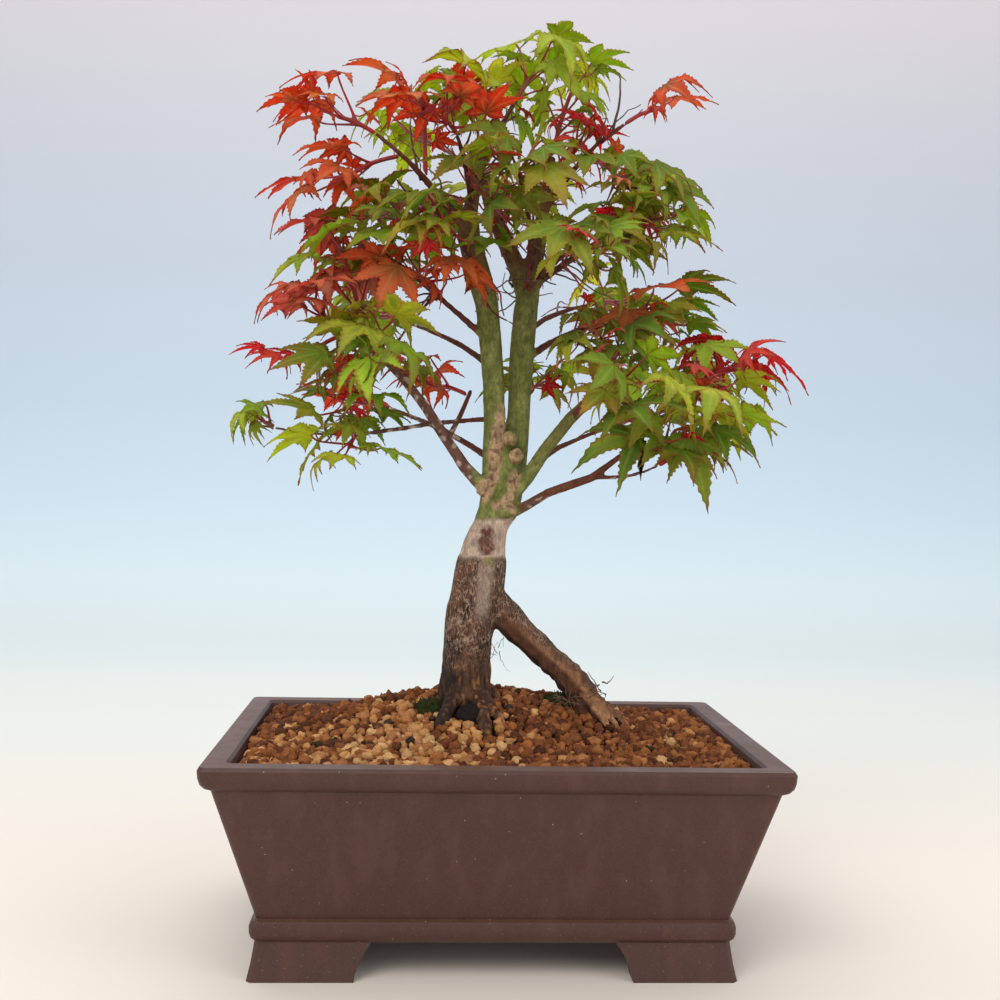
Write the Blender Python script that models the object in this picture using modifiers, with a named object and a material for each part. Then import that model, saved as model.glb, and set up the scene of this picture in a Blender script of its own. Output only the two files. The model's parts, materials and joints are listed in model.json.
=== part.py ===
"""Japanese maple bonsai, standing on two root legs in a rectangular unglazed stoneware pot.

Millimetres are used for every named size and table, and turned into metres when a mesh is made.
The pot stands on z = 0. Its long side runs along X, and -Y is the front. The tables of limbs and
sprays are measured from the pot's centre, with z counted from the top of the soil mound. At the
end everything is moved so that the origin is the bottom centre of the whole plant's bounding box.
"""

import math
import random

import bmesh
import bpy
from mathutils import Matrix, Vector
from mathutils.bvhtree import BVHTree

MM = 0.001
GAP = 0.35  # left between solids that touch

# Pot
POT_LENGTH = 200.0
POT_DEPTH = 150.0
POT_HEIGHT = 76.0
RIM_WIDTH = 9.0  # flat top of the rim
RIM_DROP = 8.5  # height of the lip
RIM_OVERHANG = 4.0  # how far the lip stands out from the wall
BASE_INSET = 18.0  # how far the foot of the wall lies inside the rim's edge
WALL = 7.0
FLOOR = 6.0
BAND_HEIGHT = 8.0  # moulding round the foot of the wall
BAND_PROUD = 2.0
CORNER_RADIUS = 2.5
FOOT_HEIGHT = 13.0
FOOT_LENGTH = 34.0  # along the long side, at the ground
FOOT_DEPTH = 28.0  # along the short side, at the ground
FOOT_THICKNESS = 10.0
FOOT_SPLAY = 3.0  # how far the foot flares outwards
FOOT_SWEEP = 6.5  # how much longer each arm is at the top
DRAIN_RADIUS = 8.0
DRAIN_OFFSET = 40.0
TIE_HOLE_RADIUS = 1.6
TIE_HOLE_OFFSET = 18.0  # from the pot's centre, along both sides

# Drain screens and the wire clips that hold them
SCREEN_SIZE = 3 * DRAIN_RADIUS  # so that the clip's legs pass through its openings and the hole
SCREEN_CELLS = 7  # bars and openings across, always odd
SCREEN_THICKNESS = 0.9
CLIP_WIRE = 1.0
CLIP_ARM = 1.5 * DRAIN_RADIUS  # how far each end reaches under the floor

# Soil
SOIL_DROP = 3.5  # soil at the walls, below the rim
MOUND_RISE = 12.0  # top of the mound, above the rim
MOUND_LENGTH = 62.0  # half length over which the mound falls away
MOUND_DEPTH = 40.0
MOUND_CENTRE = (-4.0, 12.0)
MOUND_FLATNESS = 1.3
SOIL_PIECES_LENGTH = 8
SOIL_PIECES_DEPTH = 6

# Wood
GIRTH = 1.0  # scales every radius in LIMBS
ROOT_SINK = 7.0  # how far a root's end goes below the soil's surface

# Leaves
LEAF_LENGTH = 21.5  # middle lobe of an ordinary leaf, from the stalk to its tip
LEAF_THICKNESS = 1.0  # at the stalk; the edge is sharp
STALK_LENGTH = 15.0
STALK_RADIUS = 0.45
SPRAY_RADIUS = 1.0  # of a shoot, at its foot
NODE_OFFSET = 0.7  # between the feet of a pair of leaves, halved

# Lobe tips and the notches between them: (angle from the middle lobe, share of its length)
FIVE_LOBES = [(0, 1.0), (23, 0.42), (44, 0.86), (68, 0.36), (94, 0.55)]
SEVEN_LOBES = [(0, 1.0), (18, 0.3), (36, 0.9), (56, 0.27), (76, 0.7), (98, 0.22), (122, 0.38)]
STALK_NOTCH = 0.09
LOBE_VARIATION = 0.16

# How leaves of each tone hang: (droop in degrees, fall of a lobe's tip as a share of its length)
HABITS = {
    "green": (14, 0.20), "lime": (16, 0.26), "orange": (4, 0.14), "salmon": (16, 0.22),
    "crimson": (22, 0.24),
}

# How a leaf may move to find room: (turn about its foot in degrees, lift, share of its size)
ROOM = [
    (swing, lift, shrink)
    for shrink in (1.0, 0.88, 0.76, 0.62, 0.5, 0.36)
    for lift in (0.0, 0.35, -0.35, 0.7, -0.7)
    for swing in (0, 14, -14, 28, -28, 45, -45, 65, -65)
]

# Loose things on the soil: places and radii along X, Y and Z
MOSS = [("trunk", (-23, -9), (7, 5, 4)), ("leg", (29, 6), (8, 6, 4))]
STONE_PLACE = (-8.5, -16)
STONE_RADII = (5.5, 5, 4.5)

# Limbs: name -> (sides, [(x, y, z, radius), ...]), z from the mound's top
LIMBS = {
    "trunk": (12, [
        (-10, 1, -8, 11.5), (-10, 1, 2, 10.6), (-10, 0, 15, 9.2), (-9.5, 0, 24, 9.4),
        (-8, 0, 34, 10.4), (-6, 0, 43, 10.3), (-4.5, 0, 53, 9.4), (-3, 0, 60, 8.2),
        (-1, 0, 67, 7.2), (1, 0, 72, 7.6), (2.5, 0, 79, 8.2), (3, 1, 88, 7.4), (3, 1, 98, 5.5),
    ]),
    "left_leader": (8, [
        (0, -1, 76, 5), (-1, -2, 90, 4.5), (-1, -2, 104, 4.2), (-1.5, -2, 120, 4.2),
        (-3, -2, 136, 4.4), (-5, -3, 152, 4.6), (-9, -4, 165, 4.8), (-12.5, -4, 177, 4.7),
        (-12, -3, 187, 3.0), (-10, -1, 198, 2.4), (-8, 1, 210, 1.9),
    ]),
    "right_leader": (8, [
        (5, 2, 76, 5.2), (7.5, 4, 90, 4.8), (8.5, 4, 104, 4.7), (9, 4, 120, 4.6),
        (9.5, 4, 136, 4.9), (10.5, 5, 150, 4.8), (13, 7, 166, 4.0), (16, 9, 182, 3.0),
        (18, 11, 198, 2.3), (20, 12, 212, 1.8),
    ]),
    "crossing_leader": (6, [
        (11, 5, 154, 4.0), (7, 9, 168, 3.8), (2, 12, 179, 3.4), (-3, 14, 190, 2.6),
        (-7, 17, 204, 1.7),
    ]),
    "cut_knob_high": (6, [(5, 0, 100, 3.0), (5, -6, 100.5, 2.8), (5, -8, 101, 2.2)]),
    "cut_knob_middle": (6, [(7, 0, 93, 3.0), (7.5, -6, 93.5, 2.6), (8, -8, 94, 1.8)]),
    "cut_knob_low": (6, [(3, 0, 72, 3.2), (3.5, -8, 72.5, 3.0), (3.5, -9.5, 73, 2.0)]),
    "leg_root": (8, [
        (-4, 0, 42, 6.5), (3, 0, 34, 6.4), (11, 0, 26, 5.9), (20, 1, 18, 5.5),
        (29, 1, 10, 5.6), (36, 1, 3, 6.2), (41, 1, -6, 6.4),
    ]),
    "leg_toe_right": (4, [
        (34, 1, 5, 3.4), (43, -1, -1, 2.6), (51, -4, -8, 2.2),
        (57, -6, -16, 1.8),
    ]),
    "leg_toe_front": (4, [
        (33, -1, 5, 3.2), (39, -6, -2, 2.4), (44, -11, -9, 2.0),
        (47, -14, -17, 1.7),
    ]),
    "leg_toe_middle": (4, [
        (34, 0, 5, 3.2), (42, -4, -2, 2.2), (48, -8, -9, 1.9),
        (52, -10, -17, 1.6),
    ]),
    "leg_toe_back": (4, [(34, 3, 4, 3.2), (40, 9, -3, 2.4), (44, 14, -11, 1.9)]),
    "root_front_right": (6, [
        (-8, -5, 5, 4.2), (-5, -12, 0, 3.5), (-3, -20, -6, 3.0), (-2, -28, -12, 2.5),
        (0, -33, -20, 2.0),
    ]),
    "root_front_far": (4, [
        (-5, -6, 4, 3.2), (0, -13, -2, 2.4), (5, -19, -9, 1.9),
        (7, -23, -17, 1.6),
    ]),
    "root_front_left": (6, [
        (-12, -5, 4, 3.8), (-16, -12, -1, 3.1), (-19, -18, -6, 2.7), (-23, -25, -13, 2.2),
        (-26, -29, -20, 1.9),
    ]),
    "root_left": (4, [(-14, -1, 4, 3.6), (-21, -3, -2, 2.6), (-27, -4, -9, 2.0)]),
    "root_back_left": (4, [(-13, 4, 6, 3.8), (-19, 10, 0, 2.8), (-25, 16, -9, 2.2)]),
    "root_back": (4, [(-8, 5, 5, 4.0), (-7, 13, 0, 3.0), (-5, 20, -9, 2.3)]),
    "root_right": (4, [(-5, 2, 6, 3.6), (2, 4, 0, 2.6), (9, 6, -9, 2.0)]),
    "left_limb": (6, [
        (-3, -3, 80, 3.0), (-12, -5, 89, 2.6), (-19, -6, 99, 2.3), (-28, -8, 112, 2.1),
        (-37, -9, 123, 2.0), (-43, -10, 129, 1.8), (-53, -12, 134, 1.3), (-63, -14, 140, 1.0),
    ]),
    "left_stub": (4, [(-19, -6, 99, 1.5), (-14, 0, 109, 1.4), (-10, 7, 119, 1.2)]),
    "left_twig": (4, [
        (-1, 0, 108, 1.3), (-24, 8, 106, 1.2), (-47, 10, 102, 1.1), (-72, 11, 101, 0.9),
        (-86, 11, 103, 0.8),
    ]),
    "upper_left_limb": (4, [
        (-3, -2, 137, 1.7), (-23, -6, 153, 1.3), (-36, -9, 163, 1.1), (-47, -12, 170, 0.9),
    ]),
    "upper_left_fork": (4, [(-25, -6, 154, 1.0), (-33, -12, 143, 0.9), (-39, -16, 134, 0.8)]),
    "right_low_limb": (6, [
        (5, -2, 71, 2.3), (12, -5, 75, 2.1), (20, -7, 80, 1.9), (36, -10, 86, 1.7),
        (46, -12, 94, 1.3), (56, -14, 99, 1.0),
    ]),
    "right_low_fork": (4, [(36, -10, 86, 1.1), (50, -14, 87, 1.0), (60, -18, 91, 0.8)]),
    "right_green_limb": (6, [
        (5, -2, 77, 3.2), (12, -6, 86, 2.9), (18, -9, 96, 2.6), (27, -12, 108, 2.5),
        (34, -13, 115, 2.3), (39, -13, 120, 1.8),
    ]),
    "right_green_fork": (4, [
        (36, -13, 117, 1.4), (50, -15, 114, 1.2), (63, -17, 119, 1.0),
        (76, -19, 124, 0.8),
    ]),
    "right_mid_limb": (4, [
        (9, 4, 130, 1.9), (20, 7, 138, 1.6), (32, 9, 144, 1.3), (43, 10, 149, 1.0),
        (53, 10, 152, 0.8),
    ]),
    "right_high_limb": (4, [
        (11, 5, 158, 1.9), (24, 4, 168, 1.6), (38, 1, 177, 1.2), (49, -2, 183, 0.9),
    ]),
    "crown_left_limb": (4, [
        (-12.5, -4, 179, 2.4), (-24, -8, 191, 1.8), (-36, -12, 203, 1.3), (-48, -14, 212, 0.9),
    ]),
    "crown_front_limb": (4, [(-11, -3, 187, 1.7), (-14, -14, 200, 1.4), (-18, -24, 210, 1.0)]),
    "crown_right_limb": (4, [
        (17, 10, 190, 2.0), (27, 4, 204, 1.5), (37, -2, 215, 1.1), (46, -6, 221, 0.9),
    ]),
    "crown_mid_limb": (4, [(-10, -1, 198, 1.8), (-3, -6, 214, 1.4), (4, -8, 228, 1.0)]),
    "back_left_limb": (4, [
        (-3, -1, 128, 1.8), (-14, 20, 138, 1.5), (-28, 38, 146, 1.1),
        (-38, 48, 150, 0.9),
    ]),
    "back_right_limb": (4, [
        (9, 5, 140, 1.8), (20, 26, 150, 1.5), (34, 42, 157, 1.1),
        (44, 50, 160, 0.9),
    ]),
    "back_low_limb": (4, [(4, 3, 104, 1.8), (9, 26, 114, 1.5), (17, 46, 122, 1.0)]),
    "back_low_left_limb": (4, [(-1, 1, 92, 1.7), (-20, 22, 104, 1.4), (-42, 36, 113, 1.0)]),
    "back_low_right_limb": (4, [(6, 3, 84, 1.7), (26, 20, 98, 1.4), (50, 30, 108, 1.0)]),
    "back_high_limb": (4, [(1, 13, 182, 1.8), (4, 30, 194, 1.4), (8, 44, 203, 1.0)]),
    "back_crown_limb": (4, [(-6, 16, 202, 1.5), (-16, 28, 214, 1.2), (-26, 36, 221, 0.9)]),
    "front_left_limb": (4, [(-4, -3, 150, 1.6), (-10, -20, 163, 1.3), (-18, -34, 172, 0.9)]),
    "front_mid_limb": (4, [(12, 6, 164, 1.6), (10, -16, 180, 1.3), (5, -32, 192, 0.9)]),
    "front_right_limb": (4, [(11, 2, 158, 1.6), (18, -18, 165, 1.3), (24, -36, 167, 0.9)]),
    "front_low_right_limb": (4, [(27, -12, 108, 1.4), (33, -28, 116, 1.2), (40, -40, 121, 0.9)]),
}
ROOTS = [name for name in LIMBS if "root" in name or "toe" in name]

# Sprays: name -> (limb, share of the way along it, tip's offset from there, pairs of leaves,
# leaf size as a share of LEAF_LENGTH, tone)
SPRAYS = {
    "spray_left_tip": ("left_limb", 1.0, (-6, -7, 6), 2, 0.95, "salmon"),
    "spray_left_shoot": ("left_limb", 0.82, (-9, -3, 33), 3, 0.95, "salmon"),
    "spray_left_front": ("left_limb", 0.70, (-6, -22, -2), 3, 1.0, "green"),
    "spray_left_under": ("left_limb", 0.74, (-14, 6, -20), 3, 0.95, "green"),
    "spray_left_crimson": ("left_limb", 0.94, (-14, 2, -9), 1, 0.95, "crimson"),
    "spray_left_twig_end": ("left_twig", 1.0, (-4, -1, 2), 2, 0.55, "lime"),
    "spray_left_twig_mid": ("left_twig", 0.62, (-3, -14, -6), 2, 0.95, "lime"),
    "spray_left_stub": ("left_stub", 0.9, (-14, 10, 4), 2, 0.9, "orange"),
    "spray_fork_left": ("upper_left_fork", 1.0, (-10, -10, 0), 3, 0.95, "green"),
    "spray_upper_left_end": ("upper_left_limb", 1.0, (-12, -5, -3), 2, 0.95, "lime"),
    "spray_upper_left_mid": ("upper_left_limb", 0.55, (-6, -18, 3), 3, 1.0, "orange"),
    "spray_upper_left_back": ("upper_left_limb", 0.7, (-10, 17, 4), 3, 1.0, "green"),
    "spray_crown_left_end": ("crown_left_limb", 1.0, (-14, -3, 5), 2, 1.0, "orange"),
    "spray_crown_left_low": ("crown_left_limb", 0.75, (-20, -6, -10), 2, 1.05, "orange"),
    "spray_crown_left_top": ("crown_left_limb", 0.5, (-1, -4, 25), 1, 1.05, "orange"),
    "spray_crown_left_inner": ("crown_left_limb", 0.3, (-14, 16, -6), 4, 1.0, "green"),
    "spray_crown_left_droop": ("crown_left_limb", 0.35, (-22, -14, -12), 3, 1.0, "green"),
    "spray_crown_front_end": ("crown_front_limb", 1.0, (-6, -12, 3), 3, 1.0, "orange"),
    "spray_crown_front_low": ("crown_front_limb", 0.35, (13, -18, -16), 4, 1.0, "green"),
    "spray_crown_mid_end": ("crown_mid_limb", 1.0, (9, -2, 12), 2, 1.0, "lime"),
    "spray_crown_mid_left": ("crown_mid_limb", 0.7, (-15, -7, 9), 3, 0.95, "lime"),
    "spray_crown_top": ("left_leader", 1.0, (8, 0, 20), 3, 0.95, "lime"),
    "spray_crown_peak": ("right_leader", 1.0, (7, -3, 25), 3, 1.0, "lime"),
    "spray_crown_crimson": ("right_leader", 0.9, (12, -8, 16), 2, 0.9, "crimson"),
    "spray_crown_right_end": ("crown_right_limb", 1.0, (11, -4, 5), 1, 1.05, "orange"),
    "spray_crown_right_low": ("crown_right_limb", 0.6, (14, -16, -16), 4, 1.0, "green"),
    "spray_right_high_end": ("right_high_limb", 1.0, (10, -4, 2), 3, 1.05, "lime"),
    "spray_right_high_front": ("right_high_limb", 0.7, (8, -18, -2), 3, 1.0, "green"),
    "spray_right_high_crimson": ("right_high_limb", 0.8, (10, 10, 8), 2, 0.85, "crimson"),
    "spray_front_mid": ("front_mid_limb", 1.0, (-2, -8, 2), 3, 1.0, "green"),
    "spray_right_mid_end": ("right_mid_limb", 1.0, (10, -4, -3), 3, 1.1, "green"),
    "spray_right_mid_red": ("right_mid_limb", 0.75, (10, -16, -2), 1, 1.15, "orange"),
    "spray_right_mid_back": ("right_mid_limb", 0.7, (8, 18, 2), 2, 1.0, "green"),
    "spray_right_mid_front": ("right_mid_limb", 0.4, (8, -22, -4), 3, 1.0, "green"),
    "spray_right_green_end": ("right_green_fork", 1.0, (11, -3, 4), 2, 0.95, "crimson"),
    "spray_right_green_back": ("right_green_fork", 0.75, (14, 12, 4), 3, 1.05, "lime"),
    "spray_right_green_low": ("right_green_fork", 0.7, (12, -12, -6), 3, 1.1, "lime"),
    "spray_right_knuckle": ("right_green_limb", 1.0, (4, -8, 12), 3, 0.95, "green"),
    "spray_right_low_end": ("right_low_limb", 1.0, (10, -6, 2), 3, 1.05, "green"),
    "spray_right_low_under": ("right_low_fork", 1.0, (8, -6, 4), 3, 1.05, "green"),
    "spray_front_low_right": ("front_low_right_limb", 1.0, (4, -8, -2), 2, 1.0, "green"),
    "spray_front_left": ("front_left_limb", 1.0, (-5, -10, 0), 3, 1.0, "green"),
    "spray_front_right": ("front_right_limb", 1.0, (4, -10, -2), 3, 1.05, "green"),
    "spray_back_left": ("back_left_limb", 1.0, (-10, 8, 3), 2, 1.0, "green"),
    "spray_back_right": ("back_right_limb", 1.0, (9, 8, 2), 2, 1.0, "lime"),
    "spray_back_low": ("back_low_limb", 1.0, (2, 12, 3), 3, 1.0, "green"),
    "spray_back_low_left": ("back_low_left_limb", 1.0, (-12, 8, 2), 2, 1.0, "orange"),
    "spray_back_low_right": ("back_low_right_limb", 1.0, (12, 6, 3), 2, 1.0, "green"),
    "spray_back_high": ("back_high_limb", 1.0, (2, 11, 3), 3, 1.0, "green"),
    "spray_back_crown": ("back_crown_limb", 1.0, (-9, 6, 5), 2, 1.0, "lime"),
}

# Material -> (colour, roughness, metallic)
MATERIALS = {
    "stoneware": ((0.075, 0.042, 0.034), 0.55, 0.0),
    "akadama": ((0.36, 0.17, 0.07), 0.95, 0.0),
    "bark": ((0.22, 0.15, 0.10), 0.85, 0.0),
    "screen": ((0.03, 0.03, 0.03), 0.5, 0.0),
    "clip_wire": ((0.6, 0.6, 0.6), 0.35, 1.0),
    "moss": ((0.05, 0.10, 0.02), 0.95, 0.0),
    "stone": ((0.05, 0.05, 0.05), 0.8, 0.0),
    "green": ((0.16, 0.27, 0.04), 0.5, 0.0),
    "lime": ((0.36, 0.38, 0.05), 0.5, 0.0),
    "orange": ((0.55, 0.09, 0.03), 0.5, 0.0),
    "salmon": ((0.52, 0.16, 0.12), 0.5, 0.0),
    "crimson": ((0.55, 0.02, 0.05), 0.5, 0.0),
}

MOUND_TOP = POT_HEIGHT + MOUND_RISE
SOIL_EDGE = POT_HEIGHT - SOIL_DROP
FLOOR_TOP = FOOT_HEIGHT + FLOOR


# Blender helpers


def clear_scene():
    for obj in list(bpy.data.objects):
        bpy.data.objects.remove(obj)


def new_collection(name):
    collection = bpy.data.collections.new(name)
    bpy.context.scene.collection.children.link(collection)
    return collection


def material(name):
    made = bpy.data.materials.get(name)
    if made is None:
        colour, roughness, metallic = MATERIALS[name]
        made = bpy.data.materials.new(name)
        made.use_nodes = True
        shader = made.node_tree.nodes["Principled BSDF"]
        shader.inputs["Base Color"].default_value = (*colour, 1)
        shader.inputs["Roughness"].default_value = roughness
        shader.inputs["Metallic"].default_value = metallic
        made.diffuse_color = (*colour, 1)
    return made


def add_mesh_object(name, mesh, collection):
    obj = bpy.data.objects.new(name, mesh)
    collection.objects.link(obj)
    return obj


def object_from_bmesh(name, bm, collection):
    bmesh.ops.recalc_face_normals(bm, faces=bm.faces)
    mesh = bpy.data.meshes.new(name)
    bm.to_mesh(mesh)
    bm.free()
    return add_mesh_object(name, mesh, collection)


def evaluated_mesh(obj):
    graph = bpy.context.evaluated_depsgraph_get()
    return bpy.data.meshes.new_from_object(obj.evaluated_get(graph))


def apply_modifiers(obj):
    mesh = evaluated_mesh(obj)
    obj.modifiers.clear()
    obj.data = mesh
    return obj


def boolean(obj, operation, helpers):
    """Joins the helpers to obj, or cuts them from it, and removes them."""
    operands = bpy.data.collections.new("operands")
    bpy.context.scene.collection.children.link(operands)
    for helper in helpers:
        operands.objects.link(helper)
    modifier = obj.modifiers.new(operation.title(), "BOOLEAN")
    modifier.operation = operation
    modifier.operand_type = "COLLECTION"
    modifier.collection = operands
    apply_modifiers(obj)
    for helper in helpers:
        operands.objects.unlink(helper)
    bpy.data.collections.remove(operands)
    return obj


def keep_largest(obj):
    """Drops the loose crumbs that a cut can leave."""
    bm = bmesh.new()
    bm.from_mesh(obj.data)
    bm.verts.ensure_lookup_table()
    island = {}
    for start in bm.verts:
        if start in island:
            continue
        island[start] = start
        queue = [start]
        while queue:
            for edge in queue.pop().link_edges:
                for vert in edge.verts:
                    if vert not in island:
                        island[vert] = start
                        queue.append(vert)
    sizes = {}
    for start in island.values():
        sizes[start] = sizes.get(start, 0) + 1
    largest = max(sizes, key=sizes.get)
    loose = [vert for vert, start in island.items() if start != largest]
    bmesh.ops.delete(bm, geom=loose, context="VERTS")
    bm.to_mesh(obj.data)
    bm.free()


def discard(objects):
    for obj in objects:
        bpy.data.objects.remove(obj)


def finish(obj, material_name, smooth_angle=40):
    obj.data.materials.clear()
    obj.data.materials.append(material(material_name))
    obj.data.shade_smooth()
    obj.data.set_sharp_from_angle(angle=math.radians(smooth_angle))
    return obj


def curve_tube(name, points, radii, sides, collection):
    """A capped tube of metres through points in millimetres, as a welded mesh."""
    curve = bpy.data.curves.new(name, "CURVE")
    curve.dimensions = "3D"
    curve.bevel_depth = MM
    curve.bevel_resolution = max(0, (sides - 4) // 2)
    curve.use_fill_caps = True
    spline = curve.splines.new("POLY")
    spline.points.add(len(points) - 1)
    for target, place, radius in zip(spline.points, points, radii):
        target.co = (*(Vector(place) * MM), 1)
        target.radius = radius
    source = add_mesh_object(name + "_curve", curve, collection)
    mesh = evaluated_mesh(source)
    bpy.data.objects.remove(source)
    bm = bmesh.new()
    bm.from_mesh(mesh)
    bmesh.ops.remove_doubles(bm, verts=bm.verts, dist=1e-6)
    return object_from_bmesh(name, bm, collection)


def lofted(name, rings, collection):
    """A closed solid through rings of equal point counts, its first and last ring capped."""
    bm = bmesh.new()
    loops = [[bm.verts.new(Vector(p) * MM) for p in ring] for ring in rings]
    for lower, upper in zip(loops, loops[1:]):
        for i, vert in enumerate(lower):
            j = (i + 1) % len(lower)
            bm.faces.new((vert, lower[j], upper[j], upper[i]))
    bm.faces.new(loops[0])
    bm.faces.new(loops[-1])
    return object_from_bmesh(name, bm, collection)


def cylinder(name, radius, bottom, top, centre, collection, sides=16):
    bm = bmesh.new()
    place = Matrix.Translation(Vector((centre[0], centre[1], (bottom + top) / 2)) * MM)
    bmesh.ops.create_cone(
        bm, cap_ends=True, segments=sides, radius1=radius * MM, radius2=radius * MM,
        depth=(top - bottom) * MM, matrix=place,
    )
    return object_from_bmesh(name, bm, collection)


def box(name, low, high, collection):
    bm = bmesh.new()
    low, high = Vector(low) * MM, Vector(high) * MM
    size = Matrix.Diagonal((*(high - low), 1))
    bmesh.ops.create_cube(bm, size=1, matrix=Matrix.Translation((low + high) / 2) @ size)
    return object_from_bmesh(name, bm, collection)


# Pot


def rounded_rectangle(half_x, half_y, radius, z, corner_steps=3):
    """Points round a rectangle, counterclockwise from above."""
    points = []
    for corner, (sx, sy) in enumerate(((1, 1), (-1, 1), (-1, -1), (1, -1))):
        for step in range(corner_steps + 1):
            angle = math.radians(90 * (corner + step / corner_steps))
            points.append((
                sx * (half_x - radius) + radius * math.cos(angle),
                sy * (half_y - radius) + radius * math.sin(angle),
                z,
            ))
    return points


def pot_ring(inset, z, corner_steps=3):
    """The pot's plan at this distance inside the rim's outer edge."""
    return rounded_rectangle(
        POT_LENGTH / 2 - inset, POT_DEPTH / 2 - inset, CORNER_RADIUS, z, corner_steps
    )


def inner_inset(z):
    """Inset of the pot's inner wall, which leans from the rim's inner edge to the floor."""
    share = (POT_HEIGHT - z) / (POT_HEIGHT - FLOOR_TOP)
    return RIM_WIDTH + share * (BASE_INSET + WALL - RIM_WIDTH)


def pot_profile():
    """(inset, z) from the underside's edge, up the outside, over the rim and down inside."""
    band_top = FOOT_HEIGHT + BAND_HEIGHT
    band = BASE_INSET - BAND_PROUD
    lip_bottom = POT_HEIGHT - RIM_DROP
    return [
        (BASE_INSET, FOOT_HEIGHT),
        (band + 0.5, FOOT_HEIGHT + 0.2 * BAND_HEIGHT),
        (band, FOOT_HEIGHT + 0.4 * BAND_HEIGHT),
        (band, FOOT_HEIGHT + 0.7 * BAND_HEIGHT),
        (band + 0.6, FOOT_HEIGHT + 0.92 * BAND_HEIGHT),
        (BASE_INSET, band_top),
        (RIM_OVERHANG, lip_bottom),
        (0.5 * RIM_OVERHANG, lip_bottom + 0.12 * RIM_DROP),
        (0.2 * RIM_OVERHANG, lip_bottom + 0.3 * RIM_DROP),
        (0.05 * RIM_OVERHANG, lip_bottom + 0.55 * RIM_DROP),
        (0.0, lip_bottom + 0.85 * RIM_DROP),
        (0.7, POT_HEIGHT),
        (RIM_WIDTH - 0.7, POT_HEIGHT),
        (inner_inset(POT_HEIGHT - 1.0), POT_HEIGHT - 1.0),
        (inner_inset(FLOOR_TOP), FLOOR_TOP),
    ]


def foot_ring(share):
    """The L-shaped plan of the front-left foot, at this share of its height above ground."""
    z = share * (FOOT_HEIGHT + 1)
    rounding = 0.5 if share == 0 else 0.0
    flare = BASE_INSET - BAND_PROUD - 1.0 + rounding + FOOT_SPLAY * share**0.6
    sweep = FOOT_SWEEP * share**1.6
    x0, y0 = -POT_LENGTH / 2 + flare, -POT_DEPTH / 2 + flare
    x_arm = -POT_LENGTH / 2 + BASE_INSET + FOOT_LENGTH + sweep
    y_arm = -POT_DEPTH / 2 + BASE_INSET + FOOT_DEPTH + sweep
    x_wall, y_wall = x0 + FOOT_THICKNESS, y0 + FOOT_THICKNESS
    return [
        (x0 + 1.5, y0, z), (x_arm, y0, z), (x_arm, y_wall, z), (x_wall, y_wall, z),
        (x_wall, y_arm, z), (x0, y_arm, z), (x0, y0 + 1.5, z),
    ]


def make_feet(collection):
    feet = []
    for mirror_x in (1, -1):
        for mirror_y in (1, -1):
            rings = [
                [(x * mirror_x, y * mirror_y, z) for x, y, z in foot_ring(share)]
                for share in (0, 0.15, 0.4, 0.7, 1)
            ]
            feet.append(lofted("foot", rings, collection))
    return feet


def make_pot(collection):
    pot = lofted("pot", [pot_ring(*level) for level in pot_profile()], collection)
    feet = make_feet(collection)
    boolean(pot, "UNION", feet)
    low, high = FOOT_HEIGHT - 2, FLOOR_TOP + 2
    holes = [
        cylinder("drain", DRAIN_RADIUS, low, high, (side * DRAIN_OFFSET, 0), collection)
        for side in (-1, 1)
    ]
    for sx, sy in ((-1, -1), (1, -1), (-1, 1), (1, 1)):
        centre = (sx * TIE_HOLE_OFFSET, sy * TIE_HOLE_OFFSET)
        holes.append(cylinder("tie_hole", TIE_HOLE_RADIUS, low, high, centre, collection, 8))
    boolean(pot, "DIFFERENCE", holes)
    discard(feet + holes)
    return finish(pot, "stoneware")


# Drain screens


def screen_pitch():
    return SCREEN_SIZE / SCREEN_CELLS


def make_screen(name, centre_x, collection):
    """A square lattice: a grid with every second cell removed, given its thickness."""
    bm = bmesh.new()
    bmesh.ops.create_grid(
        bm, x_segments=SCREEN_CELLS, y_segments=SCREEN_CELLS, size=SCREEN_SIZE / 2 * MM
    )
    pitch = screen_pitch() * MM
    openings = []
    for face in bm.faces:
        middle = face.calc_center_median()
        cell = [round((c + SCREEN_SIZE / 2 * MM) / pitch - 0.5) for c in middle.xy]
        if cell[0] % 2 and cell[1] % 2:
            openings.append(face)
    bmesh.ops.delete(bm, geom=openings, context="FACES")
    bottom = (FLOOR_TOP + GAP) * MM
    bmesh.ops.translate(bm, verts=bm.verts, vec=(centre_x * MM, 0, bottom))
    screen = object_from_bmesh(name, bm, collection)
    solidify = screen.modifiers.new("Solidify", "SOLIDIFY")
    solidify.thickness = SCREEN_THICKNESS * MM
    solidify.offset = 1 if screen.data.polygons[0].normal.z > 0 else -1
    apply_modifiers(screen)
    return finish(screen, "screen")


def make_clip(name, centre_x, collection):
    """A staple: across the screen, down through two of its openings and out under the floor."""
    leg = 2 * screen_pitch()
    over = FLOOR_TOP + SCREEN_THICKNESS + 2 * GAP + CLIP_WIRE / 2
    under = FOOT_HEIGHT - GAP - CLIP_WIRE / 2
    ends = [
        (leg + CLIP_ARM, under), (leg + 1, under), (leg, under + 1), (leg, over - 1),
        (leg - 1, over),
    ]
    points = [(centre_x + x, 0, z) for x, z in ends]
    points += [(centre_x - x, 0, z) for x, z in reversed(ends)]
    radii = [CLIP_WIRE / 2] * len(points)
    return finish(curve_tube(name, points, radii, 6, collection), "clip_wire", 60)


# Soil


def soil_height(x, y):
    """The soil's surface: level at the walls, with a flat-topped mound round the roots."""
    away = ((x - MOUND_CENTRE[0]) / MOUND_LENGTH) ** 2 + ((y - MOUND_CENTRE[1]) / MOUND_DEPTH) ** 2
    return SOIL_EDGE + (MOUND_TOP - SOIL_EDGE) * math.exp(-(away**MOUND_FLATNESS))


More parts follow.
